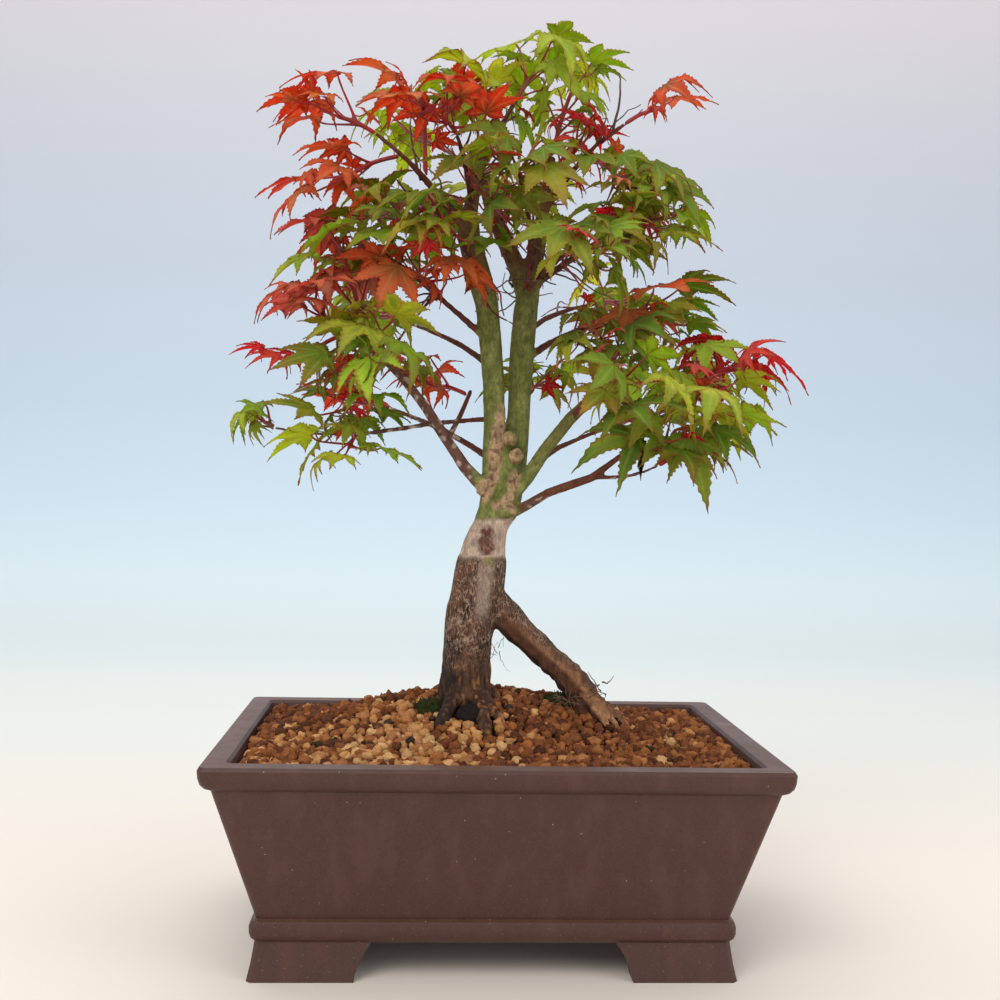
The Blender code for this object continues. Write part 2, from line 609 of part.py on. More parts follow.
def soil_edge():
    """Points round the soil at the walls, its sides split so that the mound is smooth."""
    ring = pot_ring(inner_inset(SOIL_EDGE) + GAP + 0.3, 0, corner_steps=1)
    points = []
    for number, (start, end) in enumerate(zip(ring, ring[1:] + ring[:1])):
        pieces = (1, SOIL_PIECES_LENGTH, 1, SOIL_PIECES_DEPTH)[number % 4]
        points += [Vector(start).lerp(Vector(end), i / pieces) for i in range(pieces)]
    return points


def soil_ring(share, lift):
    """A ring of the surface, from the centre (0) to the wall (1)."""
    ring = [point * share for point in soil_edge()]
    return [(x, y, soil_height(x, y) + lift) for x, y, _ in ring]


def make_soil(collection, lift=0.0):
    """The soil as one mass. A lift raises its surface, for cutting what stands on it."""
    floor = FLOOR_TOP + GAP
    top = soil_edge()
    half = pot_ring(inner_inset(floor) + GAP + 0.3, floor, corner_steps=1)[0]
    narrow = (half[0] / top[0].x, half[1] / top[0].y)
    rings = [[(point.x * narrow[0], point.y * narrow[1], floor) for point in top]]
    rings += [soil_ring(share, lift) for share in (1, 0.88, 0.74, 0.6, 0.46, 0.33, 0.2, 0.08)]
    return lofted("akadama_soil", rings, collection)


def cut_soil(soil, sockets, collection):
    """Leaves room for the roots, the screens and their clips."""
    half = SCREEN_SIZE / 2 + GAP
    top = FLOOR_TOP + SCREEN_THICKNESS + CLIP_WIRE + 3 * GAP
    pockets = [
        box("pocket", (x - half, -half, FLOOR_TOP - 1), (x + half, half, top), collection)
        for x in (-DRAIN_OFFSET, DRAIN_OFFSET)
    ]
    boolean(soil, "DIFFERENCE", pockets + sockets)
    discard(pockets)
    soil.name = "akadama_soil"
    keep_largest(soil)
    return finish(soil, "akadama", 30)


# Wood


def smooth_path(knots, steps):
    """Points and radii on a Catmull-Rom curve through (x, y, z, radius) knots."""
    rows = [Vector(k) for k in knots]
    rows = [2 * rows[0] - rows[1], *rows, 2 * rows[-1] - rows[-2]]
    path = []
    for a, b, c, d in zip(rows, rows[1:], rows[2:], rows[3:]):
        for step in range(steps):
            t = step / steps
            path.append(
                0.5 * (2 * b + (c - a) * t + (2 * a - 5 * b + 4 * c - d) * t**2
                       + (3 * b - 3 * c + d - a) * t**3)
            )
    return path + [rows[-2]]


def limb_knots(name):
    """A limb's knots from the pot's centre, with its radii scaled and a root's end sunk."""
    knots = [(x, y, z + MOUND_TOP, r * GIRTH) for x, y, z, r in LIMBS[name][1]]
    if name in ROOTS:
        x, y, z, r = knots[-1]
        knots[-1] = (x, y, min(z, soil_height(x, y) - ROOT_SINK), r)
    if name == "trunk":
        x, y, z, r = knots[0]
        knots[0] = (x, y, soil_height(x, y) - ROOT_SINK, r)
    return knots


def limb_path(name):
    return smooth_path(limb_knots(name), 1 if len(LIMBS[name][1]) > 5 else 2)


def limb_tubes(names, grow, collection):
    """Limbs as tubes, each grown by this much for use as a cutter."""
    tubes = []
    for name in names:
        path = limb_path(name)
        points = [p.xyz for p in path]
        if grow:
            points[-1] = points[-1] + (points[-1] - points[-2]).normalized() * grow
        radii = [p.w + 1.05 * grow for p in path]
        tubes.append(curve_tube(name, points, radii, LIMBS[name][0], collection))
    return tubes


def make_wood(name, names, grow, collection):
    first, *rest = limb_tubes(names, grow, collection)
    boolean(first, "UNION", rest)
    discard(rest)
    first.name = name
    return first


def point_along(points, share):
    """The point this share of the way along a line of points, by length."""
    lengths = [(b - a).length for a, b in zip(points, points[1:])]
    left = share * sum(lengths)
    for a, b, length in zip(points, points[1:], lengths):
        if left <= length:
            return a.lerp(b, left / length)
        left -= length
    return points[-1]


# Leaves


class Leaf:
    """One leaf with its stalk, as a closed mesh in millimetres.

    The blade is a shallow lens: a fan of lobes on top, the same below, sharing their edge. The
    stalk grows out of the lower fan, so no join is needed between them.
    """

    def __init__(self, foot, hub, heading, normal, length, lobes, cup):
        self.normal = normal.normalized()
        self.heading = (heading - heading.dot(self.normal) * self.normal).normalized()
        self.side = self.normal.cross(self.heading)
        self.hub = hub
        self.verts = []
        self.faces = []
        self.blade_faces = 0
        self.add_blade(length, lobes, cup)
        self.add_stalk(foot, length)

    def add_blade(self, length, lobes, cup):
        right = [(-angle, share) for angle, share in reversed(lobes[1:])]
        self.rim = []
        for angle, share in [*right, *lobes, (180, STALK_NOTCH)]:
            turn = math.radians(angle)
            reach = share * length
            spread = math.cos(turn) * self.heading + math.sin(turn) * self.side
            fall = cup * reach * share
            self.rim.append(len(self.verts))
            self.verts.append(self.hub + spread * reach - self.normal * fall)
        top = len(self.verts)
        self.verts.append(self.hub + self.normal * LEAF_THICKNESS / 2)
        count = len(self.rim)
        self.faces += [(top, self.rim[i], self.rim[(i + 1) % count]) for i in range(count)]
        self.blade_faces = len(self.faces)

    def section(self, centre, direction, radius):
        """Three points round the stalk. The first lies behind it, seen from the blade."""
        u = (self.side - self.side.dot(direction) * direction).normalized()
        v = direction.cross(u)
        start = len(self.verts)
        for degrees in (90, 210, 330):
            turn = math.radians(degrees)
            self.verts.append(centre + radius * (math.cos(turn) * u + math.sin(turn) * v))
        return start

    def add_stalk(self, foot, length):
        top = self.hub - self.normal * LEAF_THICKNESS / 2
        bend = 0.12 * length
        elbow = top - (self.heading + 1.1 * self.normal).normalized() * bend
        rise = (elbow - foot).normalized()
        under = self.section(top, self.normal, STALK_RADIUS)
        behind, right, left = under, under + 1, under + 2
        middle = len(self.rim) // 2 - (1 - len(self.rim) % 2)
        last = len(self.rim) - 1
        rim = self.rim
        for i in range(last):
            near = right if i < middle else left
            self.faces.append((near, rim[i + 1], rim[i]))
        self.faces += [
            (right, left, rim[middle]), (left, behind, rim[last]),
            (behind, right, rim[last]), (right, rim[0], rim[last]),
        ]
        lower = self.section(elbow, (rise + self.normal).normalized(), STALK_RADIUS)
        end = self.section(foot, rise, STALK_RADIUS * 0.9)
        for a, b in ((under, lower), (lower, end)):
            for i in range(3):
                j = (i + 1) % 3
                self.faces += [(a + i, a + j, b + j), (a + i, b + j, b + i)]
        self.faces.append((end, end + 1, end + 2))

    def tree(self, blade_only=False):
        faces = self.faces[: self.blade_faces] if blade_only else self.faces
        return BVHTree.FromPolygons(self.verts, faces)

    def add_object(self, name, collection):
        bm = bmesh.new()
        verts = [bm.verts.new(v * MM) for v in self.verts]
        for face in self.faces:
            bm.faces.new([verts[i] for i in face])
        return object_from_bmesh(name, bm, collection)


def leaf_at(foot, aim, habit, lobes, swing, lift, shrink):
    """A leaf whose stalk leaves the shoot along its aim, turned, lifted and shrunk to find room."""
    length, droop, cup, roll = habit
    away = Matrix.Rotation(swing, 3, "Z") @ (aim + Vector((0, 0, 0.45 + lift)))
    away.normalize()
    hub = foot + away * STALK_LENGTH * (length / LEAF_LENGTH) * (0.6 + 0.4 * shrink)
    flat = Vector((away.x, away.y, 0))
    flat = flat.normalized() if flat.length > 0.1 else Vector((1, 0, 0))
    fall = droop - lift * 0.5
    heading = flat * math.cos(fall) - Vector((0, 0, math.sin(fall)))
    normal = Matrix.Rotation(roll, 3, flat) @ heading.cross(Vector((-flat.y, flat.x, 0)))
    return Leaf(foot, hub, heading, normal, length * shrink, lobes, cup)


class Spray:
    """A shoot with opposite pairs of leaves, each pair turned from the one below it."""

    def __init__(self, name):
        limb, share, reach, self.pairs, self.size, self.tone = SPRAYS[name]
        self.name = name
        self.rng = random.Random(name)
        self.foot = point_along([p.xyz for p in limb_path(limb)], share)
        self.tip = self.foot + Vector(reach)
        middle = (self.foot + self.tip) / 2 + Vector((0, 0, 0.07 * Vector(reach).length))
        self.path = smooth_path([
            (*self.foot, SPRAY_RADIUS), (*middle, 0.9 * SPRAY_RADIUS),
            (*self.tip, 0.85 * SPRAY_RADIUS),
        ], 2)
        self.leaves = []

    def tube(self, collection):
        points = [p.xyz for p in self.path]
        return curve_tube(self.name, points, [p.w for p in self.path], 4, collection)

    def leaf_places(self):
        """(foot, aim of the stalk) of every leaf."""
        line = [p.xyz for p in self.path]
        axis = (line[-1] - line[-3]).normalized()
        step = NODE_OFFSET / (line[-1] - line[0]).length
        across = axis.cross(Vector((0, 0, 1)))
        across = across.normalized() if across.length > 0.2 else Vector((1, 0, 0))
        for pair in range(self.pairs):
            tilt = math.radians(62) * pair + self.rng.uniform(-0.4, 0.4)
            for side in (1, -1):
                outward = Matrix.Rotation(tilt, 3, axis) @ across * side
                share = 1 - 0.84 * pair / self.pairs - step * (2 + side)
                foot = point_along(line, share) + 0.25 * outward
                outward.z *= 0.5
                yield foot, axis * 0.75 + outward
        if self.pairs > 1:
            yield line[-1] - axis * 0.4, axis * 2.5 + Vector((0, 0, 0.1))

    def leaf_habit(self):
        """(length, droop, cup, roll) of a leaf."""
        droop, cup = HABITS[self.tone]
        return (
            LEAF_LENGTH * self.size * self.rng.uniform(0.74, 1.2),
            math.radians(droop + self.rng.uniform(-15, 15)),
            cup * self.rng.uniform(0.5, 1.5),
            self.rng.uniform(-0.5, 0.5),
        )

    def leaf_lobes(self):
        """The lobes of a leaf, with tips of uneven length."""
        lobes = SEVEN_LOBES if self.tone == "crimson" else FIVE_LOBES
        uneven = [1 + self.rng.uniform(-LOBE_VARIATION, LOBE_VARIATION) for _ in lobes]
        return [
            (angle, share if number % 2 else share * factor)
            for number, ((angle, share), factor) in enumerate(zip(lobes, uneven))
        ]

    def grow_leaves(self, obstacles, own_stem):
        """Adds each leaf where it clears everything that stands already."""
        for foot, aim in self.leaf_places():
            habit, lobes = self.leaf_habit(), self.leaf_lobes()
            for swing, lift, shrink in ROOM:
                leaf = leaf_at(foot, aim, habit, lobes, math.radians(swing), lift, shrink)
                if self.has_room(leaf, obstacles, own_stem):
                    self.leaves.append(leaf)
                    break

    def has_room(self, leaf, obstacles, own_stem):
        whole, blade = leaf.tree(), leaf.tree(blade_only=True)
        for other in obstacles:
            if other is not own_stem and other.near(leaf.hub) and whole.overlap(other.tree):
                return False
        for mate in self.leaves:
            if blade.overlap(mate.tree(blade_only=True)) or blade.overlap(mate.tree()):
                return False
        return not blade.overlap(own_stem.tree)


class Obstacle:
    """Something that a leaf must clear, with the ball that holds it."""

    def __init__(self, verts, faces):
        self.tree = BVHTree.FromPolygons(verts, faces)
        self.centre = sum(verts, Vector()) / len(verts)
        self.radius = max((v - self.centre).length for v in verts)

    @classmethod
    def from_object(cls, obj):
        verts = [v.co / MM for v in obj.data.vertices]
        return cls(verts, [tuple(p.vertices) for p in obj.data.polygons])

    @classmethod
    def from_leaf(cls, leaf):
        """A leaf made a little larger, so that its neighbours keep a gap."""
        centre = leaf.hub
        verts = [centre + (v - centre) * 1.02 for v in leaf.verts]
        lifted = [v + leaf.normal * GAP for v in verts]
        lowered = [v - leaf.normal * GAP for v in verts]
        count = len(verts)
        faces = leaf.faces + [tuple(i + count for i in f) for f in leaf.faces]
        return cls(lifted + lowered, faces)

    def near(self, place):
        return (place - self.centre).length < self.radius + 2 * LEAF_LENGTH


def make_sprays(wood_cutter, solids, collection):
    """All sprays, as one closed solid each, cut clear of the wood."""
    sprays = [Spray(name) for name in SPRAYS]
    tubes = [spray.tube(collection) for spray in sprays]
    stems = [Obstacle.from_object(tube) for tube in tubes]
    obstacles = [Obstacle.from_object(solid) for solid in solids] + stems
    made = []
    for spray, tube, stem in zip(sprays, tubes, stems):
        spray.grow_leaves(obstacles, stem)
        obstacles += [Obstacle.from_leaf(leaf) for leaf in spray.leaves]
        leaves = [leaf.add_object("leaf", collection) for leaf in spray.leaves]
        boolean(tube, "UNION", leaves)
        boolean(tube, "DIFFERENCE", [wood_cutter])
        discard(leaves)
        tube.name = spray.name
        keep_largest(tube)
        made.append(finish(tube, spray.tone, 25))
    return made


# Things on the soil


def make_lump(name, centre, radii, cutters, material_name, collection):
    """A rounded lump resting on the soil, cut clear of the soil and the roots."""
    x, y = centre
    place = Matrix.Translation(Vector((x, y, soil_height(x, y) + 0.25 * radii[2])) * MM)
    bm = bmesh.new()
    shape = Matrix.Diagonal((*(Vector(radii) * MM), 1))
    bmesh.ops.create_icosphere(bm, subdivisions=2, radius=1, matrix=place @ shape)
    lump = object_from_bmesh(name, bm, collection)
    boolean(lump, "DIFFERENCE", cutters)
    keep_largest(lump)
    return finish(lump, material_name)


# Whole plant


def recentre(objects):
    """Moves the plant so that the origin is the bottom centre of its bounding box."""
    corners = [v.co for obj in objects for v in obj.data.vertices]
    low = [min(c[axis] for c in corners) for axis in range(3)]
    high = [max(c[axis] for c in corners) for axis in range(3)]
    shift = Vector((-(low[0] + high[0]) / 2, -(low[1] + high[1]) / 2, -low[2]))
    for obj in objects:
        obj.data.transform(Matrix.Translation(shift))


def main():
    clear_scene()
    parts = new_collection("maple_bonsai")
    helpers = new_collection("cutters")

    pot = make_pot(parts)
    screens = [
        make_screen(f"drain_screen_{side}", x, parts)
        for side, x in (("left", -DRAIN_OFFSET), ("right", DRAIN_OFFSET))
    ]
    clips = [
        make_clip(f"screen_clip_{side}", x, parts)
        for side, x in (("left", -DRAIN_OFFSET), ("right", DRAIN_OFFSET))
    ]

    tree = make_wood("tree", list(LIMBS), 0, parts)
    wood_cutter = make_wood("wood_cutter", list(LIMBS), GAP, helpers)
    finish(tree, "bark", 50)

    soil = cut_soil(make_soil(parts), [wood_cutter], helpers)
    soil_cutter = make_soil(helpers, GAP)
    cutters = [soil_cutter, wood_cutter]
    moss = [
        make_lump(f"moss_{name}", place, radii, cutters, "moss", parts)
        for name, place, radii in MOSS
    ]
    stone = make_lump("dark_stone", STONE_PLACE, STONE_RADII, cutters, "stone", parts)
    standing = [tree, pot, soil, stone, *moss]
    sprays = make_sprays(wood_cutter, standing, parts)
    discard([wood_cutter, soil_cutter])
    recentre([pot, soil, tree, stone, *screens, *clips, *moss, *sprays])


main()
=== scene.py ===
"""Looks for a small maple bonsai in a stoneware pot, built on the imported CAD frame."""

import itertools
import json
import math
import random
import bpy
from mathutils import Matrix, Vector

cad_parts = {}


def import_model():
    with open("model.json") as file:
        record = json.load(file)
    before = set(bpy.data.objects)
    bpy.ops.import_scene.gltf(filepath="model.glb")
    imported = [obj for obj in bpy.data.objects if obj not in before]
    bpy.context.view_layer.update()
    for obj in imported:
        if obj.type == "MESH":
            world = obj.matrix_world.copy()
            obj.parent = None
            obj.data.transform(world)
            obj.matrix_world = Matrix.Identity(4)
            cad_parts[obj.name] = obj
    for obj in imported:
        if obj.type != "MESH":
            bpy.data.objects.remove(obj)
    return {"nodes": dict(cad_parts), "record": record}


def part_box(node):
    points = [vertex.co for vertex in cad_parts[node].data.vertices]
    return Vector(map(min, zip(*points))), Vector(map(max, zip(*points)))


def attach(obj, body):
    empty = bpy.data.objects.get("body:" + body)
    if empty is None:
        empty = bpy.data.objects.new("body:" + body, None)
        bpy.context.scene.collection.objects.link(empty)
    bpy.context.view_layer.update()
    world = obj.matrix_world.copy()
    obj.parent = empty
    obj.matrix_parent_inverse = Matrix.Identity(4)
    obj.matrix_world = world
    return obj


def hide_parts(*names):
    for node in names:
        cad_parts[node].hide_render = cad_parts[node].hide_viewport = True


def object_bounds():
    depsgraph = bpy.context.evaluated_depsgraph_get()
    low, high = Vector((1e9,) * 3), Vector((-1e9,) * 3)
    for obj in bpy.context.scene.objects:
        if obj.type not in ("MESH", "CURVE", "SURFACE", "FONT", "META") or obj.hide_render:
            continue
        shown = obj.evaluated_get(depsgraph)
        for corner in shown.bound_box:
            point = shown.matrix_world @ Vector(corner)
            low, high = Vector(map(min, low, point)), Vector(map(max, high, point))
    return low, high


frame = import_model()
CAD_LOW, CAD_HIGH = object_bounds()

from types import SimpleNamespace

import bmesh
import bpy
import numpy as np
from mathutils import Matrix, Vector, noise
from mathutils.bvhtree import BVHTree

MM = 0.001
WELD = 2e-6

POT_LOW, POT_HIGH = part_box("pot")
POT_CENTRE = (POT_LOW + POT_HIGH) / 2


def place(x, y, z):
    """A point given in millimetres from the middle of the pot's underside, in the frame."""
    return Vector((POT_CENTRE.x + x * MM, POT_CENTRE.y + y * MM, POT_LOW.z + z * MM))


# Colours and meshes


def linear(rgb):
    """An 0 to 255 display colour as linear light."""
    c = np.asarray(rgb, float) / 255
    return np.where(c <= 0.04045, c / 12.92, ((c + 0.055) / 1.055) ** 2.4)


def rgba(rgb):
    return (*linear(rgb), 1.0)


def mix(a, b, share):
    """Rows of a towards rows of b, by a share for each row."""
    share = np.clip(np.asarray(share, float), 0, 1)[:, None]
    return a * (1 - share) + b * share


def smoothstep(low, high, x):
    t = np.clip((np.asarray(x, float) - low) / (high - low), 0, 1)
    return t * t * (3 - 2 * t)


def noise_at(points, size, seed=0.0, stretch=(1, 1, 1)):
    """Smooth noise of about -1 to 1 at points in metres, with features of that size in mm."""
    scale = np.array(stretch, float) / (size * MM)
    shifted = np.asarray(points, float) * scale + seed * 7.31
    return np.array([noise.noise(Vector(p)) for p in shifted]) * 1.6


def linked(name, data):
    obj = bpy.data.objects.new(name, data)
    bpy.context.scene.collection.objects.link(obj)
    return obj


def mesh_object(name, verts, faces, materials, index=None, tint=None, smooth=True):
    mesh = bpy.data.meshes.new(name)
    mesh.from_pydata(np.asarray(verts, float).tolist(), [], [tuple(f) for f in faces])
    for material in materials:
        mesh.materials.append(material)
    if index is not None:
        mesh.polygons.foreach_set("material_index", np.asarray(index, np.int32))
    mesh.polygons.foreach_set("use_smooth", np.full(len(mesh.polygons), smooth))
    if tint is not None:
        paint(mesh, "tint", tint)
    mesh.update()
    return linked(name, mesh)


def paint(mesh, name, rows):
    layer = mesh.attributes.new(name, "FLOAT_COLOR", "POINT")
    rows = np.hstack([rows, np.ones((len(rows), 1))]).astype(np.float32)
    layer.data.foreach_set("color", rows.ravel())


def rows_of(items, field):
    rows = np.empty(len(items) * 3, np.float32)
    items.foreach_get(field, rows)
    return rows.reshape(-1, 3).astype(float)


def surface(mesh):
    """The place and the normal of each vertex."""
    return rows_of(mesh.vertices, "co"), rows_of(mesh.vertex_normals, "vector")


def set_coordinates(mesh, co):
    mesh.vertices.foreach_set("co", np.asarray(co, np.float32).ravel())
    mesh.update()


def dress(mesh, material):
    """One material all over, shaded smooth."""
    mesh.materials.clear()
    mesh.materials.append(material)
    mesh.polygons.foreach_set("use_smooth", np.full(len(mesh.polygons), True))


def plain(rgb, rows):
    """The same colour on every row."""
    return np.tile(linear(rgb), (rows, 1))


def coated(base, *coats):
    """A colour or rows of colours, with each (colour or rows, share) laid over in turn."""
    done = base if isinstance(base, np.ndarray) else linear(base)
    for colour, share in coats:
        over = colour if isinstance(colour, np.ndarray) else linear(colour)
        done = mix(done, over, share)
    return done


def welded(name):
    """The CAD node as a bmesh with its corners joined."""
    bm = bmesh.new()
    bm.from_mesh(frame["nodes"][name].data)
    bmesh.ops.remove_doubles(bm, verts=bm.verts, dist=WELD)
    return bm


def object_of(bm, name):
    mesh = bpy.data.meshes.new(name)
    bm.to_mesh(mesh)
    bm.free()
    return linked(name, mesh)


def baked(obj, *modifiers):
    """The object's mesh once these modifiers, (type, settings) each, are applied."""
    for kind, settings in modifiers:
        modifier = obj.modifiers.new(kind.title(), kind)
        for key, value in settings.items():
            setattr(modifier, key, value)
    graph = bpy.context.evaluated_depsgraph_get()
    mesh = bpy.data.meshes.new_from_object(obj.evaluated_get(graph))
    obj.modifiers.clear()
    old = obj.data
    obj.data = mesh
    bpy.data.meshes.remove(old)
    return mesh


def install(obj, slot, *nodes):
    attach(obj, "root")
    if nodes:
        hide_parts(*nodes)


def wire(points, radii, sides=5):
    """A tube through the points: (verts, faces)."""
    verts, faces = [], []
    for i, p in enumerate(points):
        ahead = points[min(i + 1, len(points) - 1)] - points[max(i - 1, 0)]
        ahead.normalize()
        u = ahead.orthogonal().normalized()
        v = ahead.cross(u)
        for k in range(sides):
            turn = 2 * math.pi * k / sides
            verts.append(p + (u * math.cos(turn) + v * math.sin(turn)) * radii[i])
    for i in range(len(points) - 1):
        for k in range(sides):
            j = (k + 1) % sides
            a, b = i * sides, (i + 1) * sides
            faces.append((a + k, a + j, b + j, b + k))
    faces.append(tuple(reversed(range(sides))))
    faces.append(tuple(range(len(verts) - sides, len(verts))))
    return verts, faces


# Node materials


class Nodes:
    """Short calls for building one material's nodes."""

    def __init__(self, name):
        self.material = bpy.data.materials.new(name)
        self.material.use_nodes = True
        self.tree = self.material.node_tree
        self.shader = self.tree.nodes["Principled BSDF"]
        self.output = self.tree.nodes["Material Output"]
        geometry = self.tree.nodes.new("ShaderNodeTexCoord")
        self.position = geometry.outputs["Object"]

    def node(self, kind, inputs=(), **settings):
        made = self.tree.nodes.new("ShaderNode" + kind)
        for key, value in settings.items():
            setattr(made, key, value)
        for socket, value in dict(inputs).items():
            self.feed(made.inputs[socket], value)
        return made

    def feed(self, socket, value):
        """Links another node's output, or sets a number or an 0 to 255 colour."""
        if isinstance(value, bpy.types.NodeSocket):
            self.tree.links.new(value, socket)
        elif socket.type == "RGBA":
            socket.default_value = rgba(value)
        else:
            socket.default_value = value

    def attribute(self, name):
        return self.node("Attribute", attribute_name=name).outputs["Color"]

    def noise(self, size, detail=4.0, roughness=0.6, stretch=(1, 1, 1), distortion=0.0):
        """Noise with features of that size in mm."""
        scaled = self.node("Mapping", {"Vector": self.position, "Scale": stretch})
        made = self.node("TexNoise", {
            "Vector": scaled.outputs["Vector"], "Scale": 1 / (size * MM), "Detail": detail,
            "Roughness": roughness, "Distortion": distortion,
        })
        return made.outputs["Fac"]

    def cells(self, size):
        """Distance from the middles of cells of that size in mm."""
        made = self.node("TexVoronoi", {"Vector": self.position, "Scale": 1 / (size * MM)})
        return made.outputs["Distance"]

    def axes(self, vector):
        return self.node("SeparateXYZ", {"Vector": vector}).outputs

    def ramp(self, value, *stops):
        """A colour ramp: each stop is its place and a grey or an 0 to 255 colour."""
        made = self.node("ValToRGB", {"Fac": value})
        ramp = made.color_ramp
        while len(ramp.elements) < len(stops):
            ramp.elements.new(0.5)
        for element, (at, colour) in zip(ramp.elements, stops):
            element.position = at
            element.color = (colour,) * 3 + (1,) if isinstance(colour, float) else rgba(colour)
        return made.outputs["Color"]

    def blend(self, factor, a, b, kind="MIX"):
        inputs = {0: factor, 6: a, 7: b}
        return self.node("Mix", inputs, data_type="RGBA", blend_type=kind).outputs[2]

    def math(self, operation, a, b):
        return self.node("Math", {0: a, 1: b}, operation=operation).outputs[0]

    def bump(self, height, distance, strength=1.0, after=None):
        inputs = {"Height": height, "Distance": distance * MM, "Strength": strength}
        if after is not None:
            inputs["Normal"] = after
        return self.node("Bump", inputs).outputs["Normal"]

    def set(self, **values):
        """Sets the shader's inputs, named with _ for each space."""
        for key, value in values.items():
            self.feed(self.shader.inputs[key.replace("_", " ")], value)


POT_FADE = 80 * MM  # height over which the pot's pale dots thin out
NET_CELLS = 1080.0  # cells of the net of fissures in the bark, for each metre across
NET_STRETCH = 0.17
WARP_WAVES = 420.0  # waves for each metre of the noise that bends the net
WARP = 2.2 * MM
VEINS = 8.0  # side veins along a lobe
VEIN_SLANT = 1.7
GLOW = 0.62  # share of a leaf's light that comes through it


def stoneware_material():
    m = Nodes("stoneware")
    body = m.blend(m.noise(30, 5, 0.62), (62, 35, 27), (76, 44, 35))
    cloud = m.ramp(m.noise(7, 3, 0.5, (1, 1, 0.25)), (0.48, 0.0), (0.66, 0.22))
    body = m.blend(cloud, body, (100, 66, 55))
    streak = m.ramp(m.noise(3.2, 3, 0.55, (1, 1, 0.12)), (0.5, 0.0), (0.76, 0.26))
    body = m.blend(streak, body, (56, 33, 27))
    grain = m.ramp(m.noise(0.9, 2, 0.6), (0.36, 0.0), (0.7, 0.3))
    body = m.blend(grain, body, (94, 61, 50))
    specks = m.ramp(m.cells(4.4), (0.035, 1.0), (0.065, 0.0))
    rare = m.ramp(m.noise(9, 2, 0.5), (0.44, 0.0), (0.52, 1.0))
    body = m.blend(m.math("MULTIPLY", specks, rare), body, (160, 138, 122))
    dots = m.ramp(m.cells(1.9), (0.05, 0.8), (0.11, 0.0))
    height = m.math("MULTIPLY", m.axes(m.position)["Z"], 1 / POT_FADE)
    lower = m.ramp(height, (0.05, 0.85), (0.55, 0.18))
    body = m.blend(m.math("MULTIPLY", dots, lower), body, (150, 124, 110))
    # Paler, warmer patches on faces that look upward: pale dust, and a painted highlight on the
    # rim's top.
    upward = m.axes(m.node("NewGeometry").outputs["Normal"])["Z"]
    patches = m.ramp(m.noise(8, 4, 0.6), (0.3, 0.5), (0.7, 1.0))
    dust = m.math("MULTIPLY", m.ramp(upward, (0.85, 0.0), (0.97, 0.34)), patches)
    body = m.blend(dust, body, (150, 112, 92))
    bump = m.bump(m.noise(11, 4, 0.55, (1, 1, 0.4)), 0.5, 0.5)
    bump = m.bump(m.noise(0.8, 3, 0.6), 0.06, 0.6, bump)
    bump = m.bump(m.ramp(m.cells(3.1), (0.03, 0.0), (0.1, 1.0)), 0.08, 0.5, bump)
    rough = m.ramp(m.noise(14, 4, 0.6), (0.3, 0.42), (0.7, 0.56))
    m.set(Base_Color=body, Roughness=rough, Normal=bump, Specular_IOR_Level=0.42)
    m.set(Coat_Weight=0.06, Coat_Roughness=0.3)
    return m.material


def bark_net(m):
    """1 on the fissures between the long bent cells of the bark, 0 inside them."""
    waves = m.node("TexNoise", {"Vector": m.position, "Scale": WARP_WAVES, "Detail": 2.0})
    bend = m.node("VectorMath", {0: waves.outputs["Color"], "Scale": WARP}, operation="SCALE")
    bent = m.node(
        "VectorMath", {0: m.position, 1: bend.outputs["Vector"]}, operation="ADD"
    ).outputs["Vector"]
    long = m.node("Mapping", {"Vector": bent, "Scale": (1, 1, NET_STRETCH)}).outputs["Vector"]
    net = m.node("TexVoronoi", {"Vector": long, "Scale": NET_CELLS}, feature="DISTANCE_TO_EDGE")
    return m.ramp(net.outputs["Distance"], (0.03, 1.0), (0.17, 0.0))


def bark_material():
    m = Nodes("bark")
    relief = m.node("SeparateColor", {"Color": m.attribute("relief")}).outputs
    fine = m.ramp(m.noise(0.9, 5, 0.68, (1, 1, 0.4)), (0.3, 0.62), (0.68, 1.3))
    colour = m.blend(1.0, m.attribute("tint"), fine, "MULTIPLY")
    mottle = m.ramp(m.noise(3.4, 4, 0.6), (0.36, 0.74), (0.64, 1.2))
    colour = m.blend(1.0, colour, mottle, "MULTIPLY")
    lines = m.math("MULTIPLY", bark_net(m), relief["Green"])
    broken = m.ramp(m.noise(2.6, 3, 0.6), (0.36, 0.14), (0.6, 0.95))
    colour = m.blend(m.math("MULTIPLY", lines, broken), colour, (184, 154, 130))
    bump = m.bump(m.noise(1.4, 5, 0.62, (1, 1, 0.25), 0.4), 0.7, relief["Red"])
    bump = m.bump(lines, 0.4, 1.0, bump)
    bump = m.bump(m.noise(0.45, 3, 0.6), 0.08, 0.6, bump)
    m.set(Base_Color=colour, Roughness=0.82, Normal=bump, Specular_IOR_Level=0.28)
    return m.material


